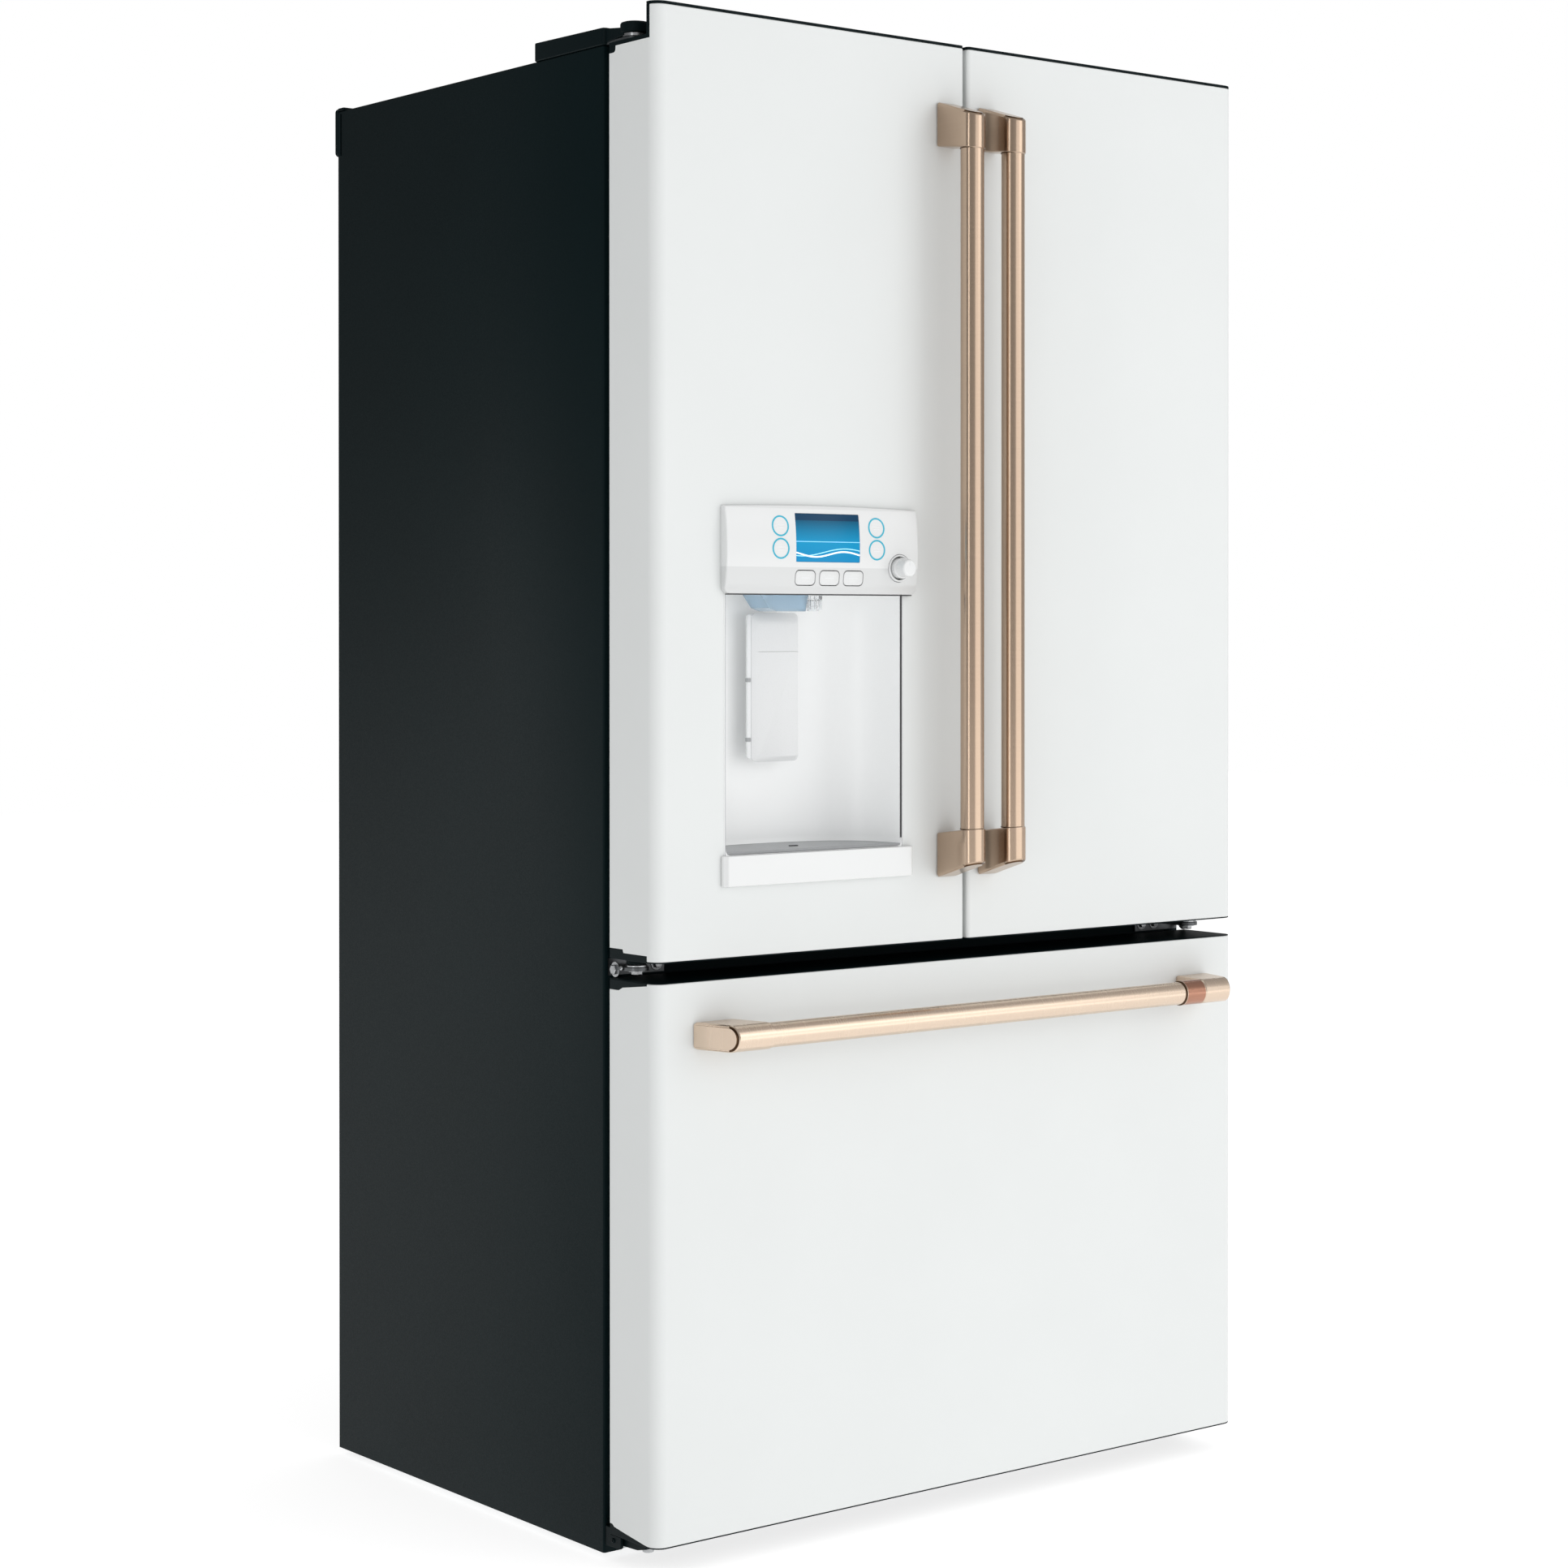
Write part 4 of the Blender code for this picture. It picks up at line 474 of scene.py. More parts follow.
def screw(name, place, axis, direction, body, radius=0.004, material=ZINC):
    """A pan-head screw standing on a face; direction is the way its head points."""
    height = radius * 0.55
    profile = [(radius, 0.0), (radius, 0.35), (radius * 0.86, 0.8), (radius * 0.55, 1.0),
               (radius * 0.35, 1.0), (radius * 0.33, 0.55)]
    head = lathe([(size, direction * height * share) for size, share in profile], place, axis, 20)
    return piece(name, head, material, body, sharp=50)


def hex_bolt(name, place, axis, direction, body, radius=0.0065, height=0.005):
    washer = lathe([(radius * 1.45, 0.0), (radius * 1.45, direction * 0.001),
                    (radius * 0.9, direction * 0.0011)],
                   place, axis, 32)
    head = lathe([(radius, direction * 0.0009), (radius, direction * height * 0.82),
                  (radius * 0.84, direction * height)], place, axis, 6)
    return piece(name, join(washer, head), ZINC, body, sharp=40)


def case_shell():
    """Wrapper of folded sheet: two sides, top and the front flange, with rolled edges."""
    flange = 0.025
    bm = bmesh.new()
    left, right = -HALF + 0.0003, HALF - 0.0003
    corner = {}
    for name, x, y, z in (
        ("blf", left, CASE_FRONT, CASE_BOTTOM), ("brf", right, CASE_FRONT, CASE_BOTTOM),
        ("tlf", left, CASE_FRONT, CASE_TOP), ("trf", right, CASE_FRONT, CASE_TOP),
        ("blb", left, CASE_BACK, CASE_BOTTOM), ("brb", right, CASE_BACK, CASE_BOTTOM),
        ("tlb", left, CASE_BACK, CASE_TOP), ("trb", right, CASE_BACK, CASE_TOP),
        ("bli", left + flange, CASE_FRONT, CASE_BOTTOM), ("bri", right - flange, CASE_FRONT, CASE_BOTTOM),
        ("tli", left + flange, CASE_FRONT, CASE_TOP - flange),
        ("tri", right - flange, CASE_FRONT, CASE_TOP - flange),
    ):
        corner[name] = bm.verts.new((x, y, z))
    for names in (
        ("blf", "tlf", "tlb", "blb"), ("brf", "brb", "trb", "trf"), ("tlf", "trf", "trb", "tlb"),
        ("blf", "bli", "tli", "tlf"), ("bri", "brf", "trf", "tri"), ("tli", "tri", "trf", "tlf"),
    ):
        bm.faces.new([corner[name] for name in names])
    folds = []
    for first, second in (("blf", "tlf"), ("brf", "trf"), ("tlf", "trf"), ("tlf", "tlb"), ("trf", "trb")):
        folds.append(bm.edges.get((corner[first], corner[second])))
    bmesh.ops.bevel(bm, geom=folds, offset=0.0028, segments=4, profile=0.5, affect="EDGES",
                    clamp_overlap=True)
    obj = piece("case_shell", bm, CASE_PAINT, "cabinet", sharp=50,
                stands_for=["outer_wrapper"])
    thick = obj.modifiers.new("sheet", "SOLIDIFY")
    thick.thickness = 0.001
    thick.offset = -1.0
    thick.use_even_offset = True
    return obj


def corner_cap(side):
    """Plastic cap over a rear top corner, with a groove down its side, drawn as a black strip of painted
    shade.
    """
    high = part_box("back_panel")[1]
    label = side_name(side)
    width = 0.085
    bottom, top = high.z - 0.062, CASE_TOP - 0.0040
    left, right = span(side, HALF - width, HALF)
    body = prism(rounded(left, right, bottom, high.z, 0.005, 5), "Y", CASE_BACK + 0.0003, high.y)
    wrap = side_box(side, HALF - 0.0030, HALF, (CASE_BACK - 0.0060, CASE_BACK - 0.0001), (bottom, top))
    # Black strip in the gap between the cap and the case: painted shade.
    gap = side_box(side, HALF - 0.0020, HALF - 0.0001, (CASE_BACK - 0.0078, CASE_BACK - 0.0061),
                   (bottom, top))
    lip_outline = rounded(left, right, CASE_BACK - 0.014, CASE_BACK + 0.002, 0.0025, 3)
    lip = prism(lip_outline, "Z", CASE_TOP + 0.0003, high.z - 0.0002)
    for part, mesh, material, bevel in (("", body, CASE_PAINT, 0.0008), ("wrap_", wrap, CASE_PAINT, 0.0002),
                                        ("gap_", gap, PAINTED_SHADE_BLACK, 0.0), ("lip_", lip, CAP_BLACK, 0.0008)):
        piece(f"corner_cap_{part}{label}", mesh, material, "cabinet", bevel)
    for number, inset in enumerate((0.016, width - 0.016)):
        place = (side * (HALF - inset), high.y - 0.0016, high.z - 0.040)
        screw(f"corner_cap_screw_{label}_{number}", place, "Y", 1, "cabinet", 0.0027)


def back_sheet():
    """Rear panel: flat sheet with pressed beads and a row of screws round its edge."""
    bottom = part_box("back_panel")[0].z
    edge, top = HALF - 0.0013, CASE_TOP - 0.0013
    sheet = box((-edge, CASE_BACK - 0.0015, bottom), (edge, CASE_BACK, top))
    piece("back_sheet", sheet, CASE_PAINT, "cabinet", 0.0004, stands_for=["back_panel"])
    beads = []
    for x in (-0.27, 0.0, 0.27):
        for start, end in ((bottom + 0.12, bottom + 0.66), (bottom + 0.76, bottom + 1.30)):
            wide = rounded(x - 0.012, x + 0.012, start, end, 0.0119, 8)
            narrow = rounded(x - 0.006, x + 0.006, start + 0.006, end - 0.006, 0.0059, 8)
            beads.append(stack("Y", (wide, CASE_BACK - 0.0004), (wide, CASE_BACK + 0.0002),
                               (narrow, CASE_BACK + 0.0022)))
    piece("back_beads", join(*beads), CASE_PAINT, "cabinet", sharp=60)
    heads = [(x, bottom + 0.03 + step * (top - bottom - 0.12) / 5)
             for x in (-edge + 0.012, edge - 0.012) for step in range(6)]
    heads += [(x, z) for x in (-0.30, -0.10, 0.10, 0.30) for z in (bottom + 0.016, top - 0.016)]
    for number, (x, z) in enumerate(heads):
        screw(f"back_screw_{number}", (x, CASE_BACK, z), "Y", 1, "cabinet", 0.0038)


def machine_details():
    """Louvred cover, power inlet and water inlet at the bottom of the back."""
    low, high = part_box("machine_cover")
    dress("machine_cover", CAP_BLACK)
    hoods = []
    for row in range(6):
        level = low.z + 0.0527 + row * 0.022
        profile = [(CASE_BACK, level + 0.003), (CASE_BACK, level + 0.0005),
                   (CASE_BACK + 0.0045, level - 0.0035), (CASE_BACK + 0.0050, level - 0.0025)]
        hoods += [prism(profile, "X", *span(side, 0.081, high.x - 0.045)) for side in (-1, 1)]
    piece("cover_louvres", join(*hoods), CAP_BLACK, "cabinet")
    places = [(x, z) for z in (low.z + 0.02, high.z - 0.02) for x in (low.x + 0.012, high.x - 0.012)]
    places += [(0.0, low.z + 0.02), (0.0, high.z - 0.02)]
    for number, (x, z) in enumerate(places):
        screw(f"cover_screw_{number}", (x, CASE_BACK, z), "Y", 1, "cabinet", 0.0038)
    z = low.z + 0.100
    mouth = rounded(-0.024, 0.024, z - 0.015, z + 0.015, 0.003, 4)
    socket = rounded(-0.020, 0.020, z - 0.011, z + 0.011, 0.003, 4)
    inlet = stack("Y", (mouth, CASE_BACK), (mouth, CASE_BACK + 0.0035), (socket, CASE_BACK + 0.0035),
                  (socket, CASE_BACK + 0.0008))
    piece("power_inlet", inlet, CAP_BLACK, "cabinet", sharp=40)
    blades = [box((x - 0.001, CASE_BACK + 0.0006, z - 0.003), (x + 0.001, CASE_BACK + 0.0032, z + 0.003))
              for x in (-0.007, 0.007)]
    piece("power_inlet_pins", join(*blades), ZINC, "cabinet")
    for side in (-1, 1):
        name = f"rear_side_plate_{side_name(side)}"
        plate = side_box(side, high.x + 0.0006, HALF - 0.0014, (CASE_BACK - 0.0015, CASE_BACK - 0.0003),
                         (low.z - 0.004, high.z))
        piece(name, plate, CASE_PAINT, "cabinet", 0.0003)
        place = (side * (HALF - 0.024), CASE_BACK - 0.0003, high.z - 0.030)
        screw(name.replace("plate", "plate_screw"), place, "Y", 1, "cabinet", 0.0038)
    water = lathe([(0.010, 0.0), (0.010, 0.002), (0.0065, 0.002), (0.0065, 0.0065), (0.0035, 0.0065),
                   (0.0035, 0.002)], (0.045, CASE_BACK, z + 0.085), "Y", 24)
    piece("water_inlet", water, ZINC, "cabinet")


def pin_at(side, level):
    return side * PIN_X, PIN_Y, level


def hinge_cover(side):
    """Moulded cover on the case, with a lower neck out to a round cap over the hinge pin."""
    label = side_name(side)
    low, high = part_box(f"hinge_cover_{label}")
    left, right = span(side, HALF - (high.x - low.x), HALF)
    shell = prism(rounded(left, right, CASE_FRONT - 0.001, high.y, 0.005, 5), "Z", low.z, high.z)
    for vertex in shell.verts:
        if vertex.co.z > low.z + 0.001:
            vertex.co.z -= 0.0020 * (high.y - vertex.co.y) / (high.y - CASE_FRONT)
    piece(f"hinge_cover_shell_{label}", shell, CAP_BLACK, "cabinet", 0.0016, 3,
          stands_for=[f"hinge_cover_{label}"])
    neck_top = high.z - 0.0050
    neck_left, neck_right = span(side, PIN_X - 0.0165, PIN_X + 0.0165)
    profile = [(CASE_FRONT, low.z + 0.002), (CASE_FRONT, neck_top + 0.0020),
               (PIN_Y + 0.010, neck_top - 0.0010), (PIN_Y, neck_top - 0.0050), (PIN_Y, low.z + 0.0060)]
    piece(f"hinge_neck_{label}", prism(profile, "X", neck_left, neck_right), CAP_BLACK, "cabinet",
          0.0012, stands_for=[f"top_hinge_{label}"])
    cap_low = NOTCH_FLOOR + 0.013
    cap_top = high.z - 0.0002 - cap_low
    cap_profile = [(0.0176, 0.0), (0.0182, 0.0006), (0.0182, cap_top - 0.0026), (0.0172, cap_top - 0.0008),
                   (0.0150, cap_top), (0.004, cap_top)]
    piece(f"knuckle_cap_{label}", lathe(cap_profile, pin_at(side, cap_low), "Z"), CAP_BLACK, "cabinet",
          sharp=28)
    washer = lathe([(0.0150, 0.0), (0.0160, 0.0006), (0.0160, 0.0038), (0.0150, 0.0044)],
                   pin_at(side, NOTCH_FLOOR + 0.0082), "Z")
    piece(f"knuckle_washer_{label}", washer, ZINC, "cabinet")
    leaf = rounded(neck_left + 0.001, neck_right - 0.001, PIN_Y - 0.013, CASE_FRONT + 0.004, 0.006, 5)
    piece(f"hinge_leaf_{label}", prism(leaf, "Z", NOTCH_FLOOR + 0.0042, NOTCH_FLOOR + 0.0080), HINGE_GREY,
          "cabinet", 0.0004)
    pin = lathe([(0.0060, -0.018), (0.0060, 0.0045)], pin_at(side, NOTCH_FLOOR), "Z", 32)
    piece(f"hinge_pin_{label}", pin, ZINC, "cabinet")
    for number, y in enumerate((PIN_Y + 0.020, PIN_Y + 0.030)):
        place = (side * (PIN_X + 0.0135), y, NOTCH_FLOOR + 0.0100)
        screw(f"hinge_leaf_screw_{label}_{number}", place, "X", side, "cabinet", 0.0026)
    place = (side * (HALF - 0.052), CASE_FRONT + 0.110, high.z - 0.0009)
    screw(f"hinge_cover_screw_{label}", place, "Z", 1, "cabinet", 0.0042)


def middle_hinge(side):
    """Steel bracket between door and drawer with its bolts, washer and the door's bushing."""
    label = side_name(side)
    dress(f"middle_hinge_{label}", PLATE_GREY, 0.0006)
    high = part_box(f"middle_hinge_{label}")[1]
    middle = (DRAWER_TOP + DOOR_BOTTOM) / 2
    washer = lathe([(0.0120, 0.0), (0.0125, 0.0004), (0.0125, 0.0018), (0.0120, 0.0022)],
                   pin_at(side, middle + 0.0024), "Z", 36)
    piece(f"middle_washer_{label}", washer, ZINC, "cabinet")
    hex_bolt(f"middle_pin_head_{label}", pin_at(side, middle - 0.0020), "Z", -1, "cabinet", 0.0070, 0.0052)
    place = (side * (HALF - 0.0062), DOOR_BACK - 0.0030, middle - 0.0018)
    hex_bolt(f"middle_side_bolt_{label}", place, "X", side, "cabinet", 0.0060, 0.0050)
    place = (side * (HALF - 0.0050), DOOR_BACK - 0.0165, middle + 0.0008)
    screw(f"middle_side_screw_{label}", place, "X", side, "cabinet", 0.0030)
    bushing = lathe([(0.0112, -0.0056), (0.0118, -0.0050), (0.0118, 0.0004)], pin_at(side, DOOR_BOTTOM), "Z",
                    36)
    piece(f"door_bushing_{label}", bushing, CAP_BLACK, f"{label}_door")
    for number, inset in enumerate((0.048, 0.070)):
        place = (side * (HALF - inset), high.y - 0.0040, middle)
        hex_bolt(f"middle_bolt_{label}_{number}", place, "Y", -1, "cabinet", 0.0052, 0.0045)


def base_details():
    """Base frame, feet and rollers, with a cover, an arm and a pad at each leg."""
    dress("base_frame", GALVANISED)
    for side in (-1, 1):
        label = side_name(side)
        dress(f"leveling_leg_{label}", GALVANISED)
        dress(f"rear_roller_{label}", TYRE)
        outer = HALF - 0.0020
        profile = [(CASE_FRONT - 0.0006, 0.0400), (CASE_FRONT - 0.0115, 0.0400),
                   (CASE_FRONT - 0.0115, 0.0322),
                   (DOOR_BACK - 0.0190, 0.0322), (DOOR_BACK - 0.0190, 0.0195), (CASE_FRONT - 0.0006, 0.0165)]
        piece(f"leg_cover_{label}", prism(profile, "X", *span(side, outer - 0.0040, outer)), CAP_BLACK,
              "cabinet", 0.0008)
        arm = [(CASE_FRONT - 0.0006, 0.0322), (DOOR_BACK - 0.0620, 0.0322), (DOOR_BACK - 0.0620, 0.0270),
               (DOOR_BACK - 0.0440, 0.0225), (CASE_FRONT - 0.0006, 0.0195)]
        piece(f"leg_arm_{label}", prism(arm, "X", *span(side, outer - 0.0340, outer - 0.0050)), CAP_BLACK,
              "cabinet", 0.0010)
        pad = lathe([(0.0060, -0.0100), (0.0066, -0.0094), (0.0066, -0.0020), (0.0060, 0.0)],
                    (side * (outer - 0.0180), DOOR_BACK - 0.0480, 0.0300), "Z", 28)
        piece(f"leg_pad_{label}", pad, ZINC, "cabinet")
        place = (side * outer, CASE_FRONT - 0.0170, 0.0260)
        screw(f"leg_cover_screw_{label}", place, "X", side, "cabinet", 0.0030, CAP_BLACK)


# ---------------------------------------------------------------- inside

def fresh_room():
    """Air duct, lamps and water filter in the fresh food room."""
    dress("fresh_food_liner", LINER_WHITE)
    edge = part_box("fresh_food_shelf")[1].x + 0.0023
    bottom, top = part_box("center_rail")[1].z + 0.010, CASE_TOP - 0.048
    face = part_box("fresh_food_liner")[1].y - 0.0025
    duct = rounded(-0.085, 0.085, bottom + 0.25, top - 0.06, 0.02, 8)
    slim = rounded(-0.077, 0.077, bottom + 0.258, top - 0.068, 0.015, 8)
    piece("air_duct", stack("Y", (duct, face), (duct, face - 0.003), (slim, face - 0.0065)), GLOSS_WHITE,
          "cabinet", sharp=50)
    slots = []
    for row in range(4):
        z = bottom + 0.36 + row * 0.15
        for middle in (-0.035, 0.035):
            slot = rounded(middle - 0.022, middle + 0.022, z - 0.003, z + 0.003, 0.0028, 4)
            slots.append(prism(slot, "Y", face - 0.0070, face - 0.0060))
    piece("air_duct_slots", join(*slots), SHADE_GREY, "cabinet")
    for number, x in enumerate((-0.22, 0.22)):
        lamp = rounded(x - 0.09, x + 0.09, CASE_FRONT + 0.05, CASE_FRONT + 0.085, 0.008, 5)
        piece(f"room_lamp_{number}", prism(lamp, "Z", top - 0.0075, top - 0.0021), PALE_WHITE, "cabinet",
              0.001)
    cartridge = [(0.020, 0.0), (0.030, 0.003), (0.030, 0.13), (0.026, 0.135), (0.026, 0.150), (0.012, 0.154)]
    piece("water_filter", lathe(cartridge, (edge - 0.040, CASE_FRONT + 0.16, top - 0.040), "Y", 36),
          GLOSS_WHITE, "cabinet")


def tub(low, high, radius, rise, floor, foot, inner_foot):
    """Open tub with thin walls that rise from a smaller foot; the feet are (inset, radius)."""
    outer = plan_of(low, high, 0.0, radius)
    inner = plan_of(low, high, TUB_WALL, radius - 0.002)
    return stack("Z", (plan_of(low, high, *foot), low.z), (outer, low.z + rise), (outer, high.z),
                 (inner, high.z),
                 (inner, low.z + rise + 0.002), (plan_of(low, high, *inner_foot), low.z + floor))


def freezer_room():
    """Dressed nodes of the freezer room, and the basket with its rim and rails."""
    dress("freezer_liner", LINER_WHITE)
    dress("center_rail", CASE_PAINT)
    dress("evaporator", COIL)
    dress("evaporator_cover", LINER_WHITE)
    low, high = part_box("freezer_basket")
    basket = tub(low, high, 0.018, 0.020, 0.004, (0.010, 0.014), (0.0125, 0.012))
    piece("basket_tub", basket, TUB_CLEAR, "freezer_drawer", sharp=40,
          stands_for=["freezer_basket"])
    outside = rounded(low.x - 0.004, high.x + 0.004, low.y + 0.0005, high.y + 0.003, 0.020)
    inside = plan_of(low, high, TUB_WALL, 0.016)
    rim = stack("Z", (outside, high.z - 0.010), (outside, high.z), (inside, high.z), (inside, high.z - 0.010),
                ring=True)
    piece("basket_rim", rim, GLOSS_WHITE, "freezer_drawer", 0.0008)
    for side in (-1, 1):
        node = f"drawer_slide_{side_name(side)}"
        dress(node, GALVANISED, 0.0006)
        slide_low, slide_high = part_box(node)
        edges = span(side, high.x - 0.001, abs(slide_low.x if side > 0 else slide_high.x) - 0.0006)
        middle = (slide_low.z + slide_high.z) / 2
        arm = rounded(DOOR_BACK + 0.0004, slide_high.y - 0.004, middle - 0.009, middle + 0.009, 0.003, 3)
        piece(f"basket_rail_{side_name(side)}", prism(arm, "X", *edges), ZINC, "freezer_drawer",
              0.0008)


def shelves():
    """Glass shelves with their trims, and the two crispers."""
    for node in ("fresh_food_shelf", "crisper_cover"):
        low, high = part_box(node)
        top = high.z - 0.001
        glass = rounded(low.x, high.x, low.y + 0.006, high.y, 0.004, 4)
        piece(f"{node}_glass", prism(glass, "Z", top - 0.005, top), SHELF_GLASS, "cabinet",
              0.0006, stands_for=[node])
        trim = [(low.y, high.z - 0.003), (low.y + 0.001, high.z - 0.0005), (low.y + 0.010, high.z),
                (low.y + 0.010, top - 0.007), (low.y + 0.003, top - 0.008), (low.y + 0.003, low.z),
                (low.y, low.z)]
        piece(f"{node}_trim", prism(trim, "X", low.x + 0.0065, high.x - 0.0065), GLOSS_WHITE, "cabinet",
              0.0006)
    for node in ("crisper_left", "crisper_right"):
        label = node.split("_")[1]
        low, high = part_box(node)
        bm = tub(low, high, 0.012, 0.012, 0.003, (0.006, 0.010), (0.009, 0.008))
        piece(f"crisper_tub_{label}", bm, TUB_CLEAR, node, sharp=40, stands_for=[node])
        middle = (low.x + high.x) / 2
        pull = rounded(middle - 0.075, middle + 0.075, high.z - 0.040, high.z - 0.018, 0.009)
        slim = rounded(middle - 0.071, middle + 0.071, high.z - 0.036, high.z - 0.022, 0.006)
        bm = stack("Y", (pull, low.y + 0.0003), (pull, low.y - 0.0035), (slim, low.y - 0.0050))
        piece(f"crisper_pull_{label}", bm, GLOSS_WHITE, node, sharp=50)


def cooling():
    dress("cabinet_foam", FOAM)
    dress("compressor", COMPRESSOR_BLACK)
    dress("condenser", COIL)
    dress("condenser_fan", CAP_BLACK)


# ---------------------------------------------------------------- doors

def corner_radii(side):
    left = FREE_ROUND if side > 0 else OUTER_ROUND
    right = FREE_ROUND if side < 0 else OUTER_ROUND
    return left, right


def door_span(side):
    if side == 0:
        return -HALF, HALF
    return span(side, GAP_HALF, HALF)


def plan(side, inset, back):
    """Plan view of a door: round front corners, square at the back."""
    left, right = door_span(side)
    left_round, right_round = [max(radius - inset, 0.0005) for radius in corner_radii(side)]
    low = FRONT + inset
    points = [(right - inset, back), (left + inset, back)]
    points += arc(left + inset + left_round, low + left_round, left_round, 180, 270, CORNER_STEPS)
    points += arc(right - inset - right_round, low + right_round, right_round, 270, 360, CORNER_STEPS)
    return points


def plan_stack(side, *steps):
    """Loft through plan views of a door at (inset, level) pairs."""
    return stack("Z", *((plan(side, inset, DOOR_BACK), level) for inset, level in steps))


def notch_box(side, floor=NOTCH_FLOOR):
    """The room of the hinge notch, from a floor up."""
    return side_box(side, HALF - NOTCH_WIDTH, HALF + 0.02, (DOOR_BACK - NOTCH_DEPTH, DOOR_BACK + 0.04),
                    (floor, HEIGHT + 0.02))


LINING_WALL = 0.0052
LINING_FLOOR = 0.0007
LINING_RISE = 0.0038
TAB_WIDE = 0.0125
TAB_LOW = 0.0082


def lining_room(side, grow=0.0):
    """The corner of a door that the hinge notch's black lining fills."""
    wall = LINING_WALL + grow
    return side_box(side, HALF - NOTCH_WIDTH - wall, HALF + 0.02,
                    (DOOR_BACK - NOTCH_DEPTH - wall, DOOR_BACK + 0.04),
                    (NOTCH_FLOOR - LINING_FLOOR - grow, HEIGHT + 0.02))


def tab_outline(grow=0.0):
    """Side view of the rounded tab that hangs from the lining at the door's back edge."""
    front = DOOR_BACK - TAB_WIDE - grow
    low = NOTCH_FLOOR - TAB_LOW - grow
    points = [(DOOR_BACK - 0.0001 + grow, low), (DOOR_BACK - 0.0001 + grow, NOTCH_FLOOR + 0.001),
              (front, NOTCH_FLOOR + 0.001)]
    return points + arc(front + 0.0045, low + 0.0045, 0.0045, 180, 270, 6)


def front_skin(name, side, low, high, body, cutters, node):
    """Folded front of a door: rolled at the top and bottom edge, open at the back."""
    roll = 0.0012
    outside = plan_stack(side, (roll, low), (0.0004, low + 0.0004), (0.0, low + roll), (0.0, high - roll),
                         (0.0004, high - 0.0004), (roll, high))
    inside = prism(plan(side, SHEET + 0.0004, DOOR_BACK + 0.02), "Z", low - 0.02, high + 0.02)
    return piece(name, carve(outside, inside, *cutters), DOOR_WHITE, body, sharp=25,
                 stands_for=[node])


def cap_above(side, low, high):
    """Black end cap along a top edge, rounded over at its upper rim."""
    rim = min(0.0006, high - low)
    return plan_stack(side, (0.0005, low), (0.0, low + 0.0003), (0.0, high - rim * 0.6),
                      (rim * 0.3, high - rim * 0.2), (rim, high))


def cap_below(side, low, high):
    """Black end cap along a bottom edge."""
    return plan_stack(side, (0.0010, low), (0.0003, low + 0.0003), (0.0, low + 0.0007), (0.0, high))


def pin_bore(side, level):
    """The hole that a hinge pin stands in."""
    return lathe([(0.0066, -0.05), (0.0066, 0.05)], pin_at(side, level), "Z", 32)


def door_caps(side, body):
    """Black end caps: top plate with the hinge notch's lining, and stepped bottom cap."""
    label = side_name(side)
    top = carve(cap_above(side, HEIGHT - CAP_TOP + 0.0002, HEIGHT), notch_box(side))
    piece(f"{label}_top_cap", top, CAP_BLACK, body, 0.0003, sharp=28)
    lining = prism(plan(side, 0.0, DOOR_BACK), "Z", NOTCH_FLOOR - LINING_FLOOR, HEIGHT - CAP_TOP + 0.0001)
    lining = carve(lining, lining_room(side), operation="INTERSECT")
    lining = carve(lining, notch_box(side, NOTCH_FLOOR + LINING_RISE))
    lining = carve(lining, prism(tab_outline(), "X", *span(side, HALF - 0.014, HALF)), operation="UNION")
    piece(f"{label}_notch_lining", carve(lining, pin_bore(side, NOTCH_FLOOR)), CAP_BLACK, body,
          0.0005)
    bottom = cap_below(side, DOOR_BOTTOM, DOOR_BOTTOM + CAP_LOW - 0.0001)
    piece(f"{label}_bottom_cap", carve(bottom, pin_bore(side, DOOR_BOTTOM)), CAP_BLACK, body,
          0.0002, sharp=28)
    rear = prism(door_step(0.0, DOOR_BOTTOM + 0.001, 0.0), "X", *door_span(side))
    piece(f"{label}_rear_cap", carve(rear, pin_bore(side, DOOR_BOTTOM)), CAP_BLACK, body,
          0.0006)


def tab_room(side):
    return prism(tab_outline(0.0002), "X", *span(side, HALF - 0.014, HALF + 0.01))


def stepped_room(side, bottom):
    """Space that the stepped rear cap takes out of the skin."""
    left, right = door_span(side)
    return prism(door_step(0.0002, bottom - 0.01, 0.02), "X", left - 0.01, right + 0.01)


def door_step(grow, base, behind):
    """Side view of the black cap along a door's bottom: tall at the back, then a lower step."""
    tall, low = DOOR_BOTTOM + 0.0121 + grow, DOOR_BOTTOM + 0.0080 + grow
    step, end = DOOR_BACK - 0.0262 - grow, DOOR_BACK - 0.0750 - grow
    return [(DOOR_BACK + behind, base), (DOOR_BACK + behind, tall), (step, tall), (step - 0.0015, low),
            (end, low), (end, base)]


def drawer_step(grow, crown, behind):
    """Side view of the black cap along the drawer's top: tall at the back, then a taper."""
    tall, low = DRAWER_TOP - 0.0127 - grow, DRAWER_TOP - 0.0090 - grow
    return [(DOOR_BACK + behind, crown), (DOOR_BACK + behind, tall), (DOOR_BACK - 0.0180, tall),
            (DOOR_BACK - 0.0262 - grow, low), (DOOR_BACK - 0.0750 - grow, DRAWER_TOP - 0.0034 - grow),
            (DOOR_BACK - 0.0750 - grow, crown)]


def frame_sweep(left, right, low, high, radius, profile):
    """Sweep a closed (inset, depth) profile round a rectangle in the XZ plane."""
    loops = []
    for inset, depth in profile:
        outline = rounded(left + inset, right - inset, low + inset, high - inset, max(radius - inset, 0.0012),
                          5)
        loops.append(placed(outline, "Y", depth))
    return loft(loops, ring=True)


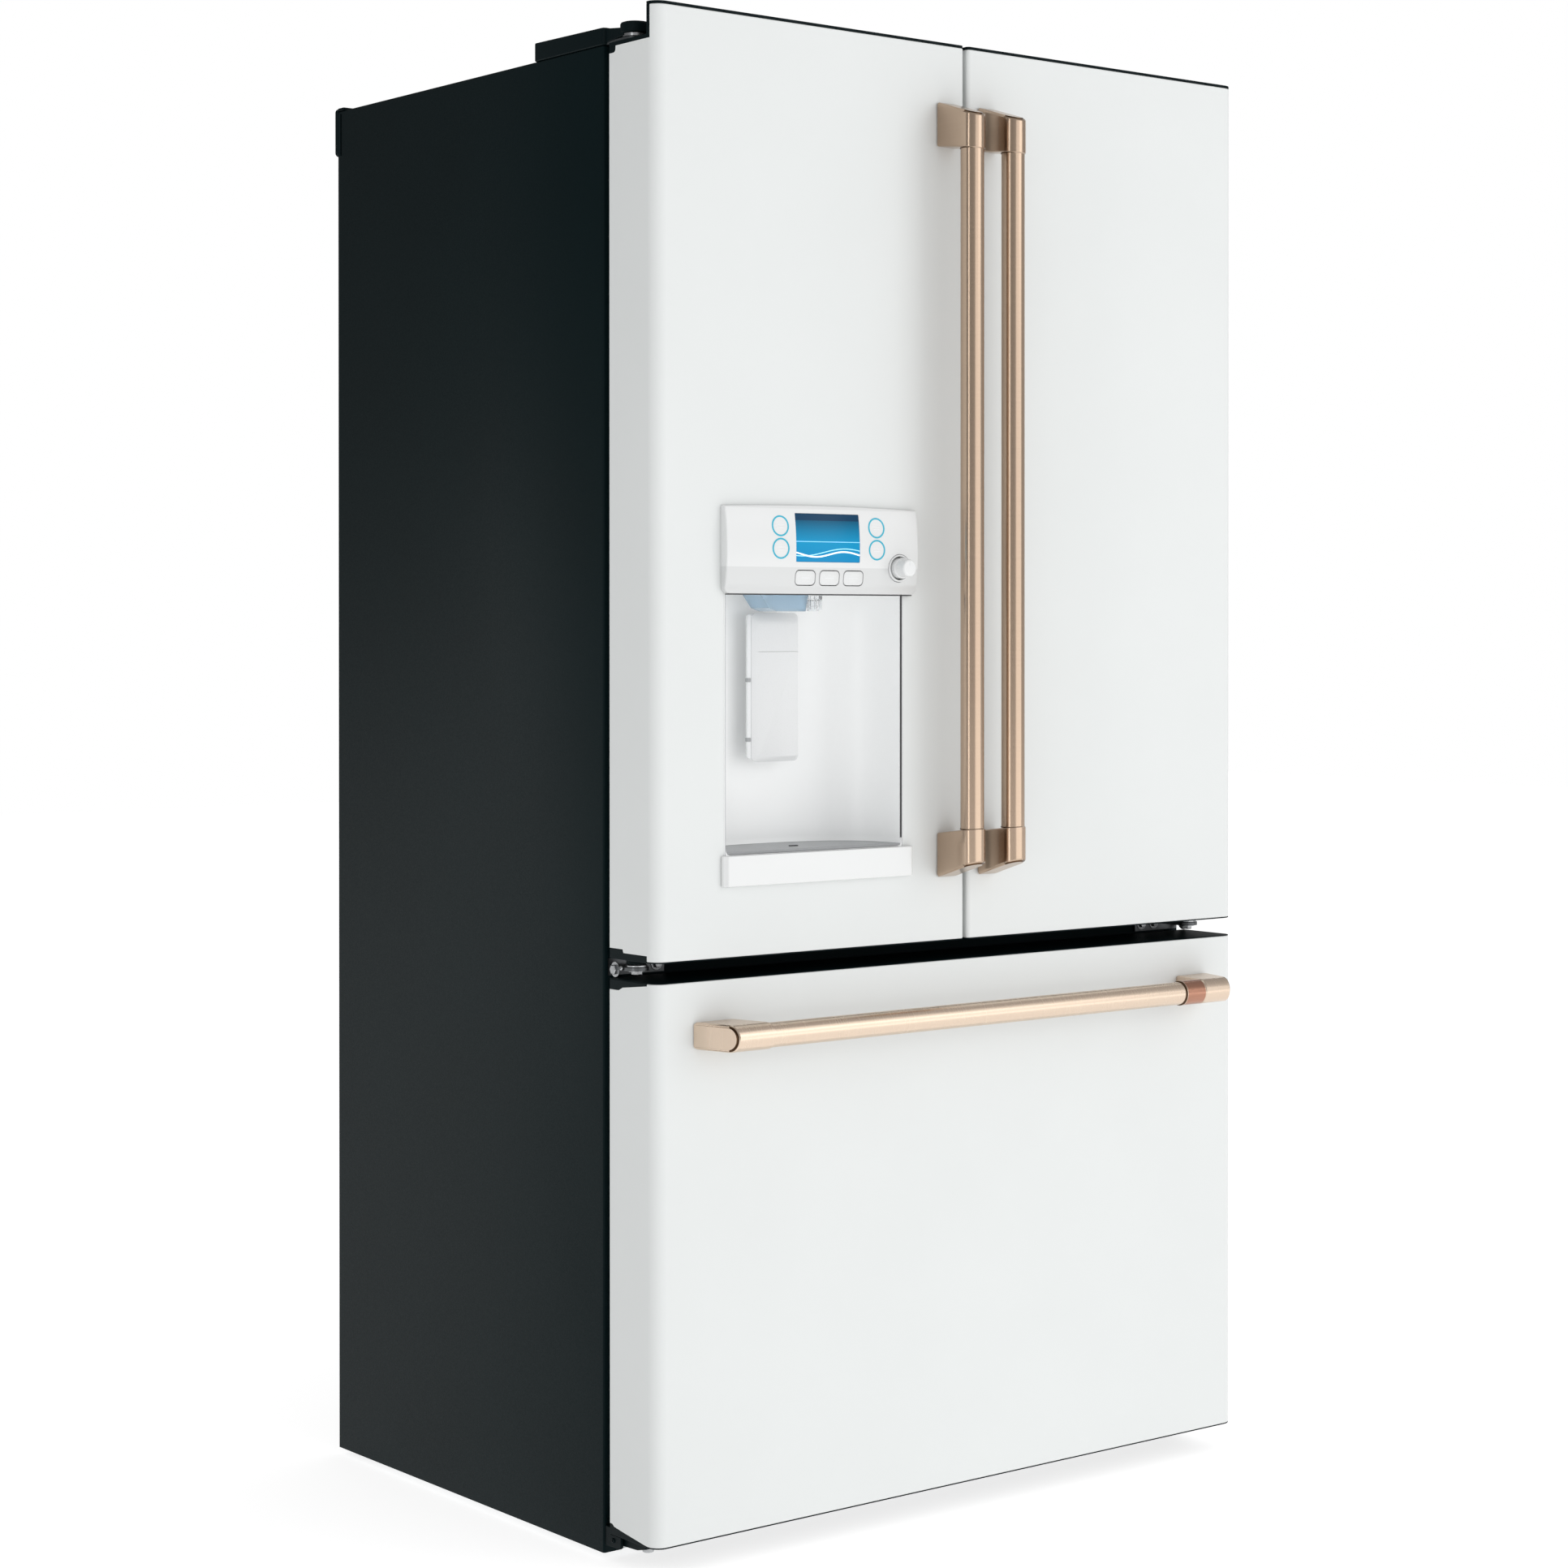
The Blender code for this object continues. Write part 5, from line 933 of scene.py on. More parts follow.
def gasket(name, node, body):
    """Magnetic door seal: a bellows with a soft magnet tube against the case."""
    low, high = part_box(node)
    deep = high.y - low.y
    profile = [(0.0030, 0.0), (0.0, 0.10), (0.0022, 0.30), (0.0, 0.52), (0.0004, 0.86), (0.0018, 1.0),
               (0.0136, 1.0), (0.0156, 0.86), (0.0160, 0.52), (0.0138, 0.30), (0.0160, 0.10), (0.0130, 0.0)]
    points = [(inset, low.y + share * deep) for inset, share in profile]
    bm = frame_sweep(low.x, high.x, low.z, high.z, 0.006, points)
    return piece(name, bm, SEAL_GREY, body, sharp=60, stands_for=[node])


def inner_panel(side, low, high):
    """White moulded inside of a door, standing inside the folded skin."""
    left, right = door_span(side)
    inset = SHEET + 0.0008
    outline = rounded(left + inset, right - inset, low, high, 0.002, 3)
    return prism(outline, "Y", DOOR_BACK - 0.012, DOOR_BACK - 0.0002)


def door_liner(side, body, node):
    """Inner panel with its raised ring and clear bins."""
    label = side_name(side)
    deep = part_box(node)[1].y
    panel = inner_panel(side, DOOR_BOTTOM + DOOR_REAR_CAP + 0.0004, HEIGHT - CAP_TOP - 0.0002)
    free = 0.085 if side < 0 else 0.057
    ring_left, ring_right = span(side, GAP_HALF + free, HALF - 0.058)
    rail_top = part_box("center_rail")[1].z
    ring_low, ring_high = rail_top + 0.020, CASE_TOP - 0.058
    cutters = [lining_room(side, 0.0004), tab_room(side)]
    if side < 0:
        cutters.append(well_solid(0.0023, 0.02))
    piece(f"{label}_inner_panel", carve(panel, *cutters), LINER_WHITE, body, 0.0005,
          stands_for=[node])
    profile = [(0.0, DOOR_BACK - 0.0006), (0.002, DOOR_BACK + 0.012), (0.0035, deep - 0.005),
               (0.0055, deep - 0.0012),
               (0.0085, deep), (0.0125, deep), (0.0155, deep - 0.0012), (0.0175, deep - 0.005),
               (0.019, DOOR_BACK + 0.012), (0.020, DOOR_BACK - 0.0006)]
    ring = frame_sweep(ring_left, ring_right, ring_low, ring_high, 0.022, profile)
    piece(f"{label}_raised_ring", ring, LINER_WHITE, body, sharp=50)
    levels = (1.225, 1.430) if side < 0 else (0.990, 1.200, 1.430)
    for number, level in enumerate(levels):
        door_bin(f"{label}_bin_{number}", ring_left + 0.0205, ring_right - 0.0205, level, body)
    if side < 0:
        bulge = rounded(ring_left + 0.0195, ring_right - 0.0195, ring_low + 0.0195, 1.140, 0.010, 6)
        slim = rounded(ring_left + 0.0255, ring_right - 0.0255, ring_low + 0.0255, 1.134, 0.008, 6)
        cover = stack("Y", (bulge, DOOR_BACK - 0.0008), (bulge, deep - 0.008), (slim, deep - 0.0012))
        cover = carve(cover, well_solid(0.0026, 0.02))
        piece("left_ice_cover", cover, LINER_WHITE, body, sharp=50)
        inset_outline = rounded(ring_left + 0.055, ring_right - 0.055, 0.86, 1.06, 0.012, 6)
        piece("left_ice_cover_pad", prism(inset_outline, "Y", deep - 0.0014, deep + 0.0006), PALE_WHITE, body,
              0.0005)


def door_bin(name, left, right, level, body):
    """A clear bin with a white front rail, hung inside the raised ring."""
    back = DOOR_BACK + 0.0006
    reach = DOOR_BACK + 0.112
    tall = 0.095
    outer = rounded(left, right, back, reach, 0.012, 6)
    foot = rounded(left + 0.006, right - 0.006, back + 0.001, reach - 0.012, 0.010, 6)
    inner = rounded(left + 0.0025, right - 0.0025, back + 0.0025, reach - 0.0025, 0.010, 6)
    inner_foot = rounded(left + 0.0085, right - 0.0085, back + 0.0035, reach - 0.0145, 0.008, 6)
    loops = [placed(foot, "Z", level), placed(outer, "Z", level + tall), placed(inner, "Z", level + tall),
             placed(inner_foot, "Z", level + 0.003)]
    piece(f"{name}_tub", loft(loops), TUB_CLEAR, body, sharp=40)
    rim_outer = rounded(left + 0.0002, right - 0.0002, reach - 0.030, reach + 0.003, 0.012, 6)
    rim_inner = rounded(left + 0.004, right - 0.004, reach - 0.040, reach - 0.002, 0.010, 6)
    rail = carve(prism(rim_outer, "Z", level + tall - 0.016, level + tall + 0.001),
                 prism(rim_inner, "Z", level, level + tall + 0.02))
    piece(f"{name}_rail", rail, GLOSS_WHITE, body, 0.0008)


# ---------------------------------------------------------------- handles

SEAM_SHARE = 0.77
DRAWER_SEAM_X = -0.3505 + 0.0185 * SEAM_SHARE + 0.0006
BAND_X = 0.3257
BAND_WIDE = 0.0325


def post_outline(middle, round_steps=24):
    """Section of a post across the bar as (across, depth): flat sides, half-round front, round heels."""
    heel = 0.004
    back = FRONT - 0.0002
    points = arc(middle + POST_HALF - heel, back - heel, heel, 90, 0, 4)
    points += [(middle + POST_HALF, BAR_Y)]
    points += arc(middle, BAR_Y, POST_HALF, 0, -180, round_steps)[1:]
    points += arc(middle - POST_HALF + heel, back - heel, heel, 180, 90, 4)
    return points


def shrunk(outline, amount, middle):
    """The outline moved inwards by about an amount."""
    centre = Vector((middle, (BAR_Y + FRONT) / 2))
    result = []
    for index, point in enumerate(outline):
        here = Vector(point)
        along = Vector(outline[(index + 1) % len(outline)]) - Vector(outline[index - 1])
        normal = Vector((along.y, -along.x)).normalized()
        if (centre - here).dot(normal) < 0:
            normal = -normal
        result.append(tuple(here + normal * amount))
    return result


def post(name, middle, axis, outer_base, outer_tip, inner_base, inner_tip, body, stands_for, material):
    """Handle post between two slanting ends; distances are along the bar."""
    outline = post_outline(middle)
    direction = 1 if outer_base > inner_base else -1

    def end_level(depth, base, tip):
        share = (FRONT - depth) / (FRONT - TIP_Y)
        return base + (tip - base) * share

    def ring(amount, base, tip, shift, fade=0.0):
        loop = []
        for across, depth in shrunk(outline, amount, middle) if amount else outline:
            share = min(1.0, max(0.0, (BAR_Y + 0.010 - depth) / 0.008)) if fade else 1.0
            level = end_level(depth, base, tip) + shift * share
            if axis == "Z":
                loop.append(Vector((across, depth, level)))
            else:
                loop.append(Vector((level, depth, across)))
        return loop

    chamfer = 0.0030
    groove = -direction * 0.0020
    loops = [
        ring(0.0012, inner_base, inner_tip, 0.0),
        ring(0.0, inner_base, inner_tip, direction * 0.0012),
        ring(0.0, outer_base, outer_tip, -direction * chamfer),
        ring(0.0009, outer_base, outer_tip, -direction * 0.0016),
        ring(0.0016, outer_base, outer_tip, groove, 1.0),
        ring(0.0028, outer_base, outer_tip, groove, 1.0),
        ring(0.0032, outer_base, outer_tip, 0.0),
    ]
    obj = piece(name, loft(loops), material, body, sharp=24, stands_for=stands_for)
    obj.data.materials.append(BRONZE_DARK)
    count = len(outline)
    for polygon in obj.data.polygons:
        rings_touched = {vertex // count for vertex in polygon.vertices}
        centre = polygon.center
        if rings_touched in ({3, 4}, {4, 5}, {5, 6}) and centre.y < BAR_Y + 0.001:
            polygon.material_index = 1
    return obj


def seam_ring(name, axis, centre, radius, width, body, material):
    half = width / 2
    profile = [(radius - 0.0015, -half), (radius, -half * 0.6), (radius, half * 0.6), (radius - 0.0015, half)]
    return piece(name, lathe(profile, centre, axis), material, body, sharp=60)


def bar_of(name, axis, node, body, material):
    """Handle tube in place of its node."""
    low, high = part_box(node)
    half = (high - low)[2 if axis == "Z" else 0] / 2
    profile = [(BAR_RADIUS - 0.0006, -half), (BAR_RADIUS, -half + 0.0006)]
    profile += [(BAR_RADIUS, -half + half * step / 4) for step in range(1, 8)]
    profile += [(BAR_RADIUS, half - 0.0006), (BAR_RADIUS - 0.0006, half)]
    return piece(name, lathe(profile, tuple((low + high) / 2), axis, 64), material, body, sharp=30,
                 stands_for=[node])


def door_handle(side):
    label = side_name(side)
    body = f"{label}_door"
    middle = side * 0.032
    bar_of(f"{label}_bar", "Z", f"{label}_handle_bar", body, BRONZE_UP)
    base, slant, sleeve = 0.0535, 0.0195, 0.008
    for end, direction in (("upper", 1), ("lower", -1)):
        low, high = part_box(f"{label}_handle_post_{end}")
        outer = high.z if direction > 0 else low.z
        inner = outer - direction * base
        post(f"{label}_post_{end}", middle, "Z", outer, outer - direction * slant, inner,
             inner - direction * sleeve, body, [f"{label}_handle_post_{end}"], BRONZE_UP)
        level = inner - direction * sleeve * SEAM_SHARE
        seam_ring(f"{label}_seam_{end}", "Z", (middle, BAR_Y, level - direction * 0.0006),
                  BAR_RADIUS + 0.0006, 0.0016, body, BRONZE_SEAM)


def drawer_handle():
    """Tube along the drawer, its two posts, a seam at the left and the copper band at the right."""
    body = "freezer_drawer"
    low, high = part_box("drawer_handle_bar")
    level = (low.z + high.z) / 2
    bar_of("drawer_bar", "X", "drawer_handle_bar", body, BRONZE_ALONG_PAINTED_LIGHT)
    base, slant = 0.0528, 0.0173
    for side, sleeve in ((-1, 0.0185), (1, 0.0085)):
        node = f"drawer_handle_post_{side_name(side)}"
        post_low, post_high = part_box(node)
        outer = (post_high.x if side > 0 else post_low.x) + side * 0.003
        inner = outer - side * base
        post(f"drawer_post_{side_name(side)}", level, "X", outer, outer - side * slant, inner,
             inner - side * sleeve, body, [node], BRONZE_ALONG_PAINTED_LIGHT)
    seam_ring("drawer_seam_left", "X", (DRAWER_SEAM_X, BAR_Y, level), BAR_RADIUS + 0.0006, 0.0016, body,
              BRONZE_SEAM)
    rim = POST_HALF - 0.0001
    profile = [(BAR_RADIUS + 0.0002, -BAND_WIDE / 2), (rim, -BAND_WIDE / 2 + 0.0006),
               (rim, BAND_WIDE / 2 - 0.0006), (BAR_RADIUS + 0.0002, BAND_WIDE / 2)]
    piece("drawer_band", lathe(profile, (BAND_X, BAR_Y, level), "X", 64), COPPER, body, sharp=30)
    for label, place, material in (("gap", -0.0008, BRONZE_SEAM), ("inner", 0.0008, BRONZE_ALONG_PAINTED_LIGHT),
                                   ("outer", BAND_WIDE - 0.0004, BRONZE_ALONG_PAINTED_LIGHT)):
        centre = (BAND_X - BAND_WIDE / 2 + place, BAR_Y, level)
        seam_ring(f"drawer_band_{label}", "X", centre, POST_HALF, 0.0014, body, material)


# ---------------------------------------------------------------- dispenser

WELL_LOW, WELL_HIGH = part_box("dispenser_well")
WELL_X = (WELL_LOW.x + WELL_HIGH.x) / 2
WELL_HALF = (WELL_HIGH.x - WELL_LOW.x) / 2 - 0.002
WELL_BOTTOM, WELL_TOP = WELL_LOW.z + 0.002, WELL_HIGH.z - 0.002
WELL_DEPTH = WELL_HIGH.y - FRONT - 0.002
WELL_SIDE = 0.012
WELL_ROUNDNESS = 2.5
PANEL_LOW, PANEL_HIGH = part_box("dispenser_panel")
SCREEN_LOW, SCREEN_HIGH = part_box("dispenser_screen")
KEYS = [f"dispenser_key_{number}" for number in (1, 2, 3)]


def well_plan(grow, front, steps=64):
    """Plan view of the recess: short straight sides and a round back."""
    half = WELL_HALF + grow
    shoulder = FRONT + WELL_SIDE
    depth = WELL_DEPTH - WELL_SIDE + grow
    power = WELL_ROUNDNESS
    points = [(WELL_X + half, front)]
    for step in range(steps + 1):
        angle = math.pi * step / steps
        cosine, sine = math.cos(angle), math.sin(angle)
        reach = (abs(cosine) ** power + abs(sine) ** power) ** (-1 / power)
        points.append((WELL_X + half * cosine * reach, shoulder + depth * sine * reach))
    points.append((WELL_X - half, front))
    return points


def well_solid(grow, ahead):
    return prism(well_plan(grow, FRONT - ahead), "Z", WELL_BOTTOM - grow, WELL_TOP + grow)


def bow(level):
    """How far the fascia stands in front of the door at a height."""
    middle = (PANEL_LOW.z + PANEL_HIGH.z) / 2
    half = (PANEL_HIGH.z - PANEL_LOW.z) / 2
    share = min(1.0, abs(level - middle) / half)
    return 0.007 + 0.005 * (1 - share * share)


def fascia_outline(inset):
    """Front view of the fascia: slightly arched top and round bottom corners."""
    left, right = PANEL_LOW.x + inset, PANEL_HIGH.x - inset
    low, high = PANEL_LOW.z + inset, PANEL_HIGH.z - inset - 0.0025
    corner = max(0.008 - inset, 0.001)
    points = arc(left + corner, low + corner, corner, 180, 270, 6)
    points += arc(right - corner, low + corner, corner, 270, 360, 6)
    steps = 24
    for step in range(steps + 1):
        share = step / steps
        x = right - (right - left) * share
        points.append((x, high + 0.0025 * (1 - (2 * share - 1) ** 2)))
    return points


def rounded_key(centre_x, centre_z, width, height, radius):
    return rounded(centre_x - width / 2, centre_x + width / 2, centre_z - height / 2, centre_z + height / 2,
                   radius)


def bowed_plate(outline, behind, ahead, edge, bands=8):
    """Plate whose back lies behind the fascia's surface and whose front stands ahead of it."""
    levels = [point[1] for point in outline]
    low, high = min(levels), max(levels)
    middle_x = sum(point[0] for point in outline) / len(outline)
    middle_z = (low + high) / 2
    half_x = max(abs(point[0] - middle_x) for point in outline)
    half_z = (high - low) / 2

    def smaller(amount):
        across, up = 1 - amount / half_x, 1 - amount / half_z
        return [(middle_x + (x - middle_x) * across, middle_z + (z - middle_z) * up) for x, z in outline]

    bm = stack("Y", (outline, behind), (outline, -ahead + edge), (smaller(edge * 0.3), -ahead + edge * 0.3),
               (smaller(edge), -ahead))
    for index in range(1, bands):
        level = low + (high - low) * index / bands
        bmesh.ops.bisect_plane(bm, geom=bm.verts[:] + bm.edges[:] + bm.faces[:], plane_co=(0, 0, level),
                               plane_no=(0, 0, 1))
    for vertex in bm.verts:
        vertex.co.y += FRONT - bow(vertex.co.z)
    return bm


def fascia():
    """Bowed gloss front over the recess, with openings for the display, the keys and the dial."""
    bm = bowed_plate(fascia_outline(0.0), 0.0045, 0.0, 0.0014, 24)
    for vertex in bm.verts:
        if vertex.co.y > FRONT - bow(vertex.co.z) + 0.004:
            vertex.co.y = FRONT - 0.0003
    dial_x, dial_z = front_middle("dispenser_dial")
    cutters = [lathe([(0.0168, -0.03), (0.0168, -0.0050)], (dial_x, FRONT, dial_z), "Y")]
    window = rounded(SCREEN_LOW.x - 0.0003, SCREEN_HIGH.x + 0.0003, SCREEN_LOW.z - 0.0003,
                     SCREEN_HIGH.z + 0.0003, 0.0012, 3)
    cutters.append(prism(window, "Y", FRONT - 0.03, FRONT - 0.005))
    for node in KEYS:
        hole = rounded_key(*front_middle(node), 0.0300, 0.0185, 0.0056)
        cutters.append(prism(hole, "Y", FRONT - 0.03, FRONT - 0.0019))
    plastic = two_tone("fascia_plastic", 1.1405, 0.0004, (0.645, 0.655, 0.655), (0.735, 0.745, 0.745), 0.2)
    piece("fascia", carve(bm, *cutters), plastic, "left_door", sharp=22,
          stands_for=["dispenser_panel"])


def screen():
    outline = rounded(SCREEN_LOW.x, SCREEN_HIGH.x, SCREEN_LOW.z, SCREEN_HIGH.z, 0.001, 3)
    piece("screen_glass", bowed_plate(outline, 0.0015, -0.0003, 0.0003, 10),
          screen_material(SCREEN_LOW, SCREEN_HIGH),
          "left_door", sharp=30, stands_for=["dispenser_screen"])
    edge = rounded(SCREEN_HIGH.x + 0.0002, SCREEN_HIGH.x + 0.0014, SCREEN_LOW.z, SCREEN_HIGH.z, 0.0004, 2)
    piece("screen_edge", bowed_plate(edge, 0.0005, 0.0003, 0.0002, 10), PALE_WHITE, "left_door")


def touch_rings():
    """Four touch marks: a cyan ring with two short pale bars inside."""
    for number, (x, z) in enumerate(((-0.2875, 1.188), (-0.2875, 1.162), (-0.1469, 1.188), (-0.1469, 1.162))):
        loops = []
        for radius, lift in ((0.0101, -0.0004), (0.0103, 0.00035), (0.0121, 0.00035), (0.0123, -0.0004)):
            circle = [Vector((x + dx, FRONT - bow(z + dz) - lift, z + dz))
                      for dx, dz in arc(0.0, 0.0, radius, 0, 360 - 360 / 48, 47)]
            loops.append(circle)
        piece(f"touch_ring_{number}", loft(loops, ring=True), CYAN, "left_door", sharp=60)
        discs = []
        for row, width in ((-0.0016, 0.0050), (0.0018, 0.0065)):
            line = rounded(x - width, x + width, z + row - 0.0006, z + row + 0.0006, 0.0005, 2)
            discs.append(bowed_plate(line, 0.0003, 0.00015, 0.0001, 2))
        piece(f"touch_marks_{number}", join(*discs), PALE_WHITE, "left_door")


def keys():
    """Three key caps, each in its groove and with a plain bar."""
    for number, node in enumerate(KEYS, 1):
        x, z = front_middle(node)
        cap = bowed_plate(rounded_key(x, z, 0.0280, 0.0165, 0.0050), 0.0045, 0.0004, 0.0008, 6)
        piece(f"key_cap_{number}", cap, KEY_WHITE, node, sharp=28, stands_for=[node])
        # Grey floor of the groove round each key: painted shade in the groove.
        groove = prism(rounded_key(x, z, 0.0298, 0.0183, 0.0055), "Y", FRONT - 0.0024, FRONT - 0.0017)
        piece(f"key_groove_{number}", groove, GREY_AND_GROOVE_SHADE, "left_door")
        mark = rounded(x - 0.0065, x + 0.0065, z - 0.0006, z + 0.0006, 0.0005, 2)
        piece(f"key_mark_{number}", bowed_plate(mark, 0.0002, 0.00055, 0.0001, 2), PALE_WHITE, node)


def dial():
    """Knob with a pointer, in a rim that stands on the fascia."""
    x, z = front_middle("dispenser_dial")
    rim = bow(z)
    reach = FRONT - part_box("dispenser_dial")[0].y
    centre = (x, FRONT, z)
    knob = [(0.0122, -0.0055), (0.0122, -rim - 0.0060), (0.0116, -rim - 0.0068), (0.0108, -rim - 0.0070),
            (0.0106, -rim - 0.0075), (0.0105, -reach + 0.0030), (0.0100, -reach + 0.0012),
            (0.0088, -reach + 0.0002), (0.0070, -reach)]
    piece("dial_knob", lathe(knob, centre, "Y", 64), GLOSS_WHITE, "dispenser_dial", sharp=30,
          stands_for=["dispenser_dial"])
    ring = lathe([(0.0138, -0.0052), (0.0138, -rim - 0.0004), (0.0144, -rim - 0.0014),
                  (0.0154, -rim - 0.0016),
                  (0.0162, -rim - 0.0008), (0.0163, -0.0052)], centre, "Y", 64, ring=True)
    piece("dial_rim", ring, GLOSS_WHITE, "left_door", sharp=40)
    shade = lathe([(0.0126, -0.0052), (0.0136, -0.0052), (0.0136, -0.0058), (0.0126, -0.0058)], centre, "Y",
                  64, ring=True)
    piece("dial_gap", shade, SHADE_GREY, "left_door")
    notch = box((x - 0.0006, FRONT - reach - 0.0003, z + 0.002),
                (x + 0.0006, FRONT - reach + 0.0006, z + 0.0082))
    piece("dial_pointer", notch, PALE_WHITE, "dispenser_dial")


def well():
    """Smooth recess with a bevelled rim at its mouth; its white is brighter and glows a little, which is
    painted light.
    """
    wall = 0.002
    solid = prism(well_plan(wall, FRONT - 0.0001), "Z", WELL_BOTTOM - wall, WELL_TOP + wall)
    hollow = stack("Z", *((well_plan(grow, FRONT - 0.02), level) for grow, level in (
        (-0.0060, WELL_BOTTOM + 0.0002), (-0.0022, WELL_BOTTOM + 0.0016), (-0.0004, WELL_BOTTOM + 0.0050),
        (0.0, WELL_BOTTOM + 0.0100), (0.0, WELL_TOP))))
    piece("well_shell", carve(solid, hollow), WELL_WHITE_PAINTED_LIGHT, "left_door", sharp=30,
          stands_for=["dispenser_well"])
    for side in (-1, 1):
        x = WELL_X + side * (WELL_HALF + 0.0006)
        strip = box((x - 0.0006, FRONT - 0.0004, WELL_BOTTOM), (x + 0.0006, FRONT + 0.004, WELL_TOP))
        piece(f"well_edge_{side_name(side)}", strip, GRILLE_GREY, "left_door", 0.0003)
    line = box((PANEL_LOW.x + 0.006, FRONT - 0.0065, WELL_TOP - 0.0012),
               (PANEL_HIGH.x - 0.006, FRONT - 0.0004, WELL_TOP - 0.0001))
    piece("fascia_shadow_line", line, SHADE_GREY, "left_door")


def paddle():
    """Chamfered pad with a seam, hung from clips on its left side."""
    low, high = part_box("dispenser_paddle")
    left, right = low.x, high.x
    front, back = low.y, high.y
    edge = 0.0085
    outer = rounded(left, right, low.z, high.z, 0.007, 6)
    face = rounded(left + edge, right - 0.003, low.z + 0.006, high.z - 0.010, 0.004, 6)
    pad = stack("Y", (outer, back), (outer, back - 0.0012), (face, front))
    seam_level = high.z - 0.26 * (high.z - low.z)
    seam = box((left - 0.01, front - 0.01, seam_level - 0.0004),
               (right + 0.01, front + 0.0009, seam_level + 0.0004))
    piece("paddle_pad", carve(pad, seam), PADDLE_WHITE, "dispenser_paddle", 0.0005,
          stands_for=["dispenser_paddle"])
    stem = rounded(left - 0.0055, left + 0.012, low.z + 0.004, high.z - 0.002, 0.003, 3)
    piece("paddle_backing", prism(stem, "Y", back - 0.0006, back + 0.0022), PALE_WHITE, "dispenser_paddle",
          0.0006)
    clips = []
    for share in (0.15, 0.55):
        level = low.z + share * (high.z - low.z)
        clips.append(box((left - 0.0065, back - 0.0020, level - 0.0022),
                         (left - 0.0010, back + 0.0020, level + 0.0022)))
    piece("paddle_clips", join(*clips), GREY_AND_GROOVE_SHADE, "dispenser_paddle", 0.0004)


def chute():
    """Translucent ice chute with a clear ribbed water nozzle beside it."""
    low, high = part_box("dispenser_chute")
    left, front, bottom = low
    back, top = high.y, high.z
    outline = [(left, top), (left + 0.012, bottom + 0.004), (left + 0.024, bottom), (left + 0.066, bottom),
               (left + 0.070, top)]
    hollow_outline = [(left + 0.004, top + 0.01), (left + 0.0150, bottom + 0.0065),
                      (left + 0.0255, bottom + 0.0025),
                      (left + 0.0640, bottom + 0.0025), (left + 0.0672, top + 0.01)]
    hollow = prism(hollow_outline, "Y", front + 0.002, back - 0.002)
    piece("chute_shell", carve(prism(outline, "Y", front, back), hollow), BLUE_CLEAR, "left_door",
          0.0006, stands_for=["dispenser_chute"])
    throat = prism([(left + 0.028, bottom - 0.0005), (left + 0.058, bottom - 0.0005),
                    (left + 0.060, top - 0.002),
                    (left + 0.026, top - 0.002)], "Y", front + 0.006, back - 0.006)
    piece("chute_throat", throat, PALE_WHITE, "left_door", 0.0008)
    nozzle_x, nozzle_y = left + 0.086, (front + back) / 2 - 0.004
    nozzle = [(0.0120, -0.0002), (0.0118, -0.0050), (0.0096, -0.0065), (0.0094, -0.0125), (0.0082, -0.0140),
              (0.0080, -0.0190), (0.0050, -0.0192), (0.0048, -0.0040)]
    piece("water_nozzle", lathe(nozzle, (nozzle_x, nozzle_y, top), "Z", 28), CLEAR, "left_door",
          sharp=28)
    ribs = [lathe([(0.0010, -0.0170), (0.0013, -0.0010)], (x, y, top), "Z", 8)
            for x, y in arc(nozzle_x, nozzle_y, 0.0102, 0, 324, 9)]
    piece("nozzle_ribs", join(*ribs), CLEAR, "left_door")


def perforated(low, high, level, thickness, pitch, hole):
    """A plate full of square holes, built corner by corner."""
    bm = bmesh.new()
    grid = {}
    levels = (level, level - thickness)

    def corner(column, row, z):
        if (column, row, z) not in grid:
            grid[column, row, z] = bm.verts.new((low.x + column * pitch, low.y + row * pitch, z))
        return grid[column, row, z]

    for column in range(int((high.x - low.x) / pitch) + 1):
        for row in range(int((high.y - low.y) / pitch) + 1):
            corners = ((column, row), (column + 1, row), (column + 1, row + 1), (column, row + 1))
            x, y = low.x + (column + 0.5) * pitch, low.y + (row + 0.5) * pitch
            half = hole / 2
            square = ((x - half, y - half), (x + half, y - half), (x + half, y + half), (x - half, y + half))
            inner = {z: [bm.verts.new((*point, z)) for point in square] for z in levels}
            for index in range(4):
                after = (index + 1) % 4
                for z in levels:
                    bm.faces.new((corner(*corners[index], z), corner(*corners[after], z), inner[z][after],
                                  inner[z][index]))
                top, bottom = inner[levels[0]], inner[levels[1]]
                bm.faces.new((top[index], top[after], bottom[after], bottom[index]))
    for edge in [edge for edge in bm.edges if len(edge.link_faces) == 1]:
        if min(vertex.co.z for vertex in edge.verts) > level - thickness / 2:
            under = [grid[round((vertex.co.x - low.x) / pitch), round((vertex.co.y - low.y) / pitch),
                          levels[1]]
                     for vertex in edge.verts]
            bm.faces.new((*edge.verts, under[1], under[0]))
    return bm


def tray():
    """Perforated drip grille over a shallow tray, and its small catch."""
    low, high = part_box("dispenser_tray")
    top, thickness = high.z, 0.0012
    plate = perforated(low, high, top, thickness, 0.0050, 0.0027)
    outline = prism(well_plan(-0.0045, FRONT + 0.0045), "Z", top - thickness - 0.01, top + 0.01)
    piece("drip_grille", carve(plate, outline, operation="INTERSECT"), GRILLE_GREY, "left_door",
          sharp=30)
    outside, inside = well_plan(-0.0012, FRONT + 0.0012), well_plan(-0.0050, FRONT + 0.0050)
    rim = stack("Z", (outside, low.z + 0.0004), (outside, top + 0.0002), (inside, top + 0.0002),
                (inside, low.z + 0.0006))
    piece("drip_tray", rim, GREY_AND_GROOVE_SHADE, "left_door", sharp=40, stands_for=["dispenser_tray"])
    catch = rounded(WELL_X - 0.006, WELL_X + 0.006, FRONT + 0.040, FRONT + 0.046, 0.0025, 4)
    piece("tray_catch", prism(catch, "Z", top - 0.0005, top + 0.0010), SHADE_GREY, "left_door")


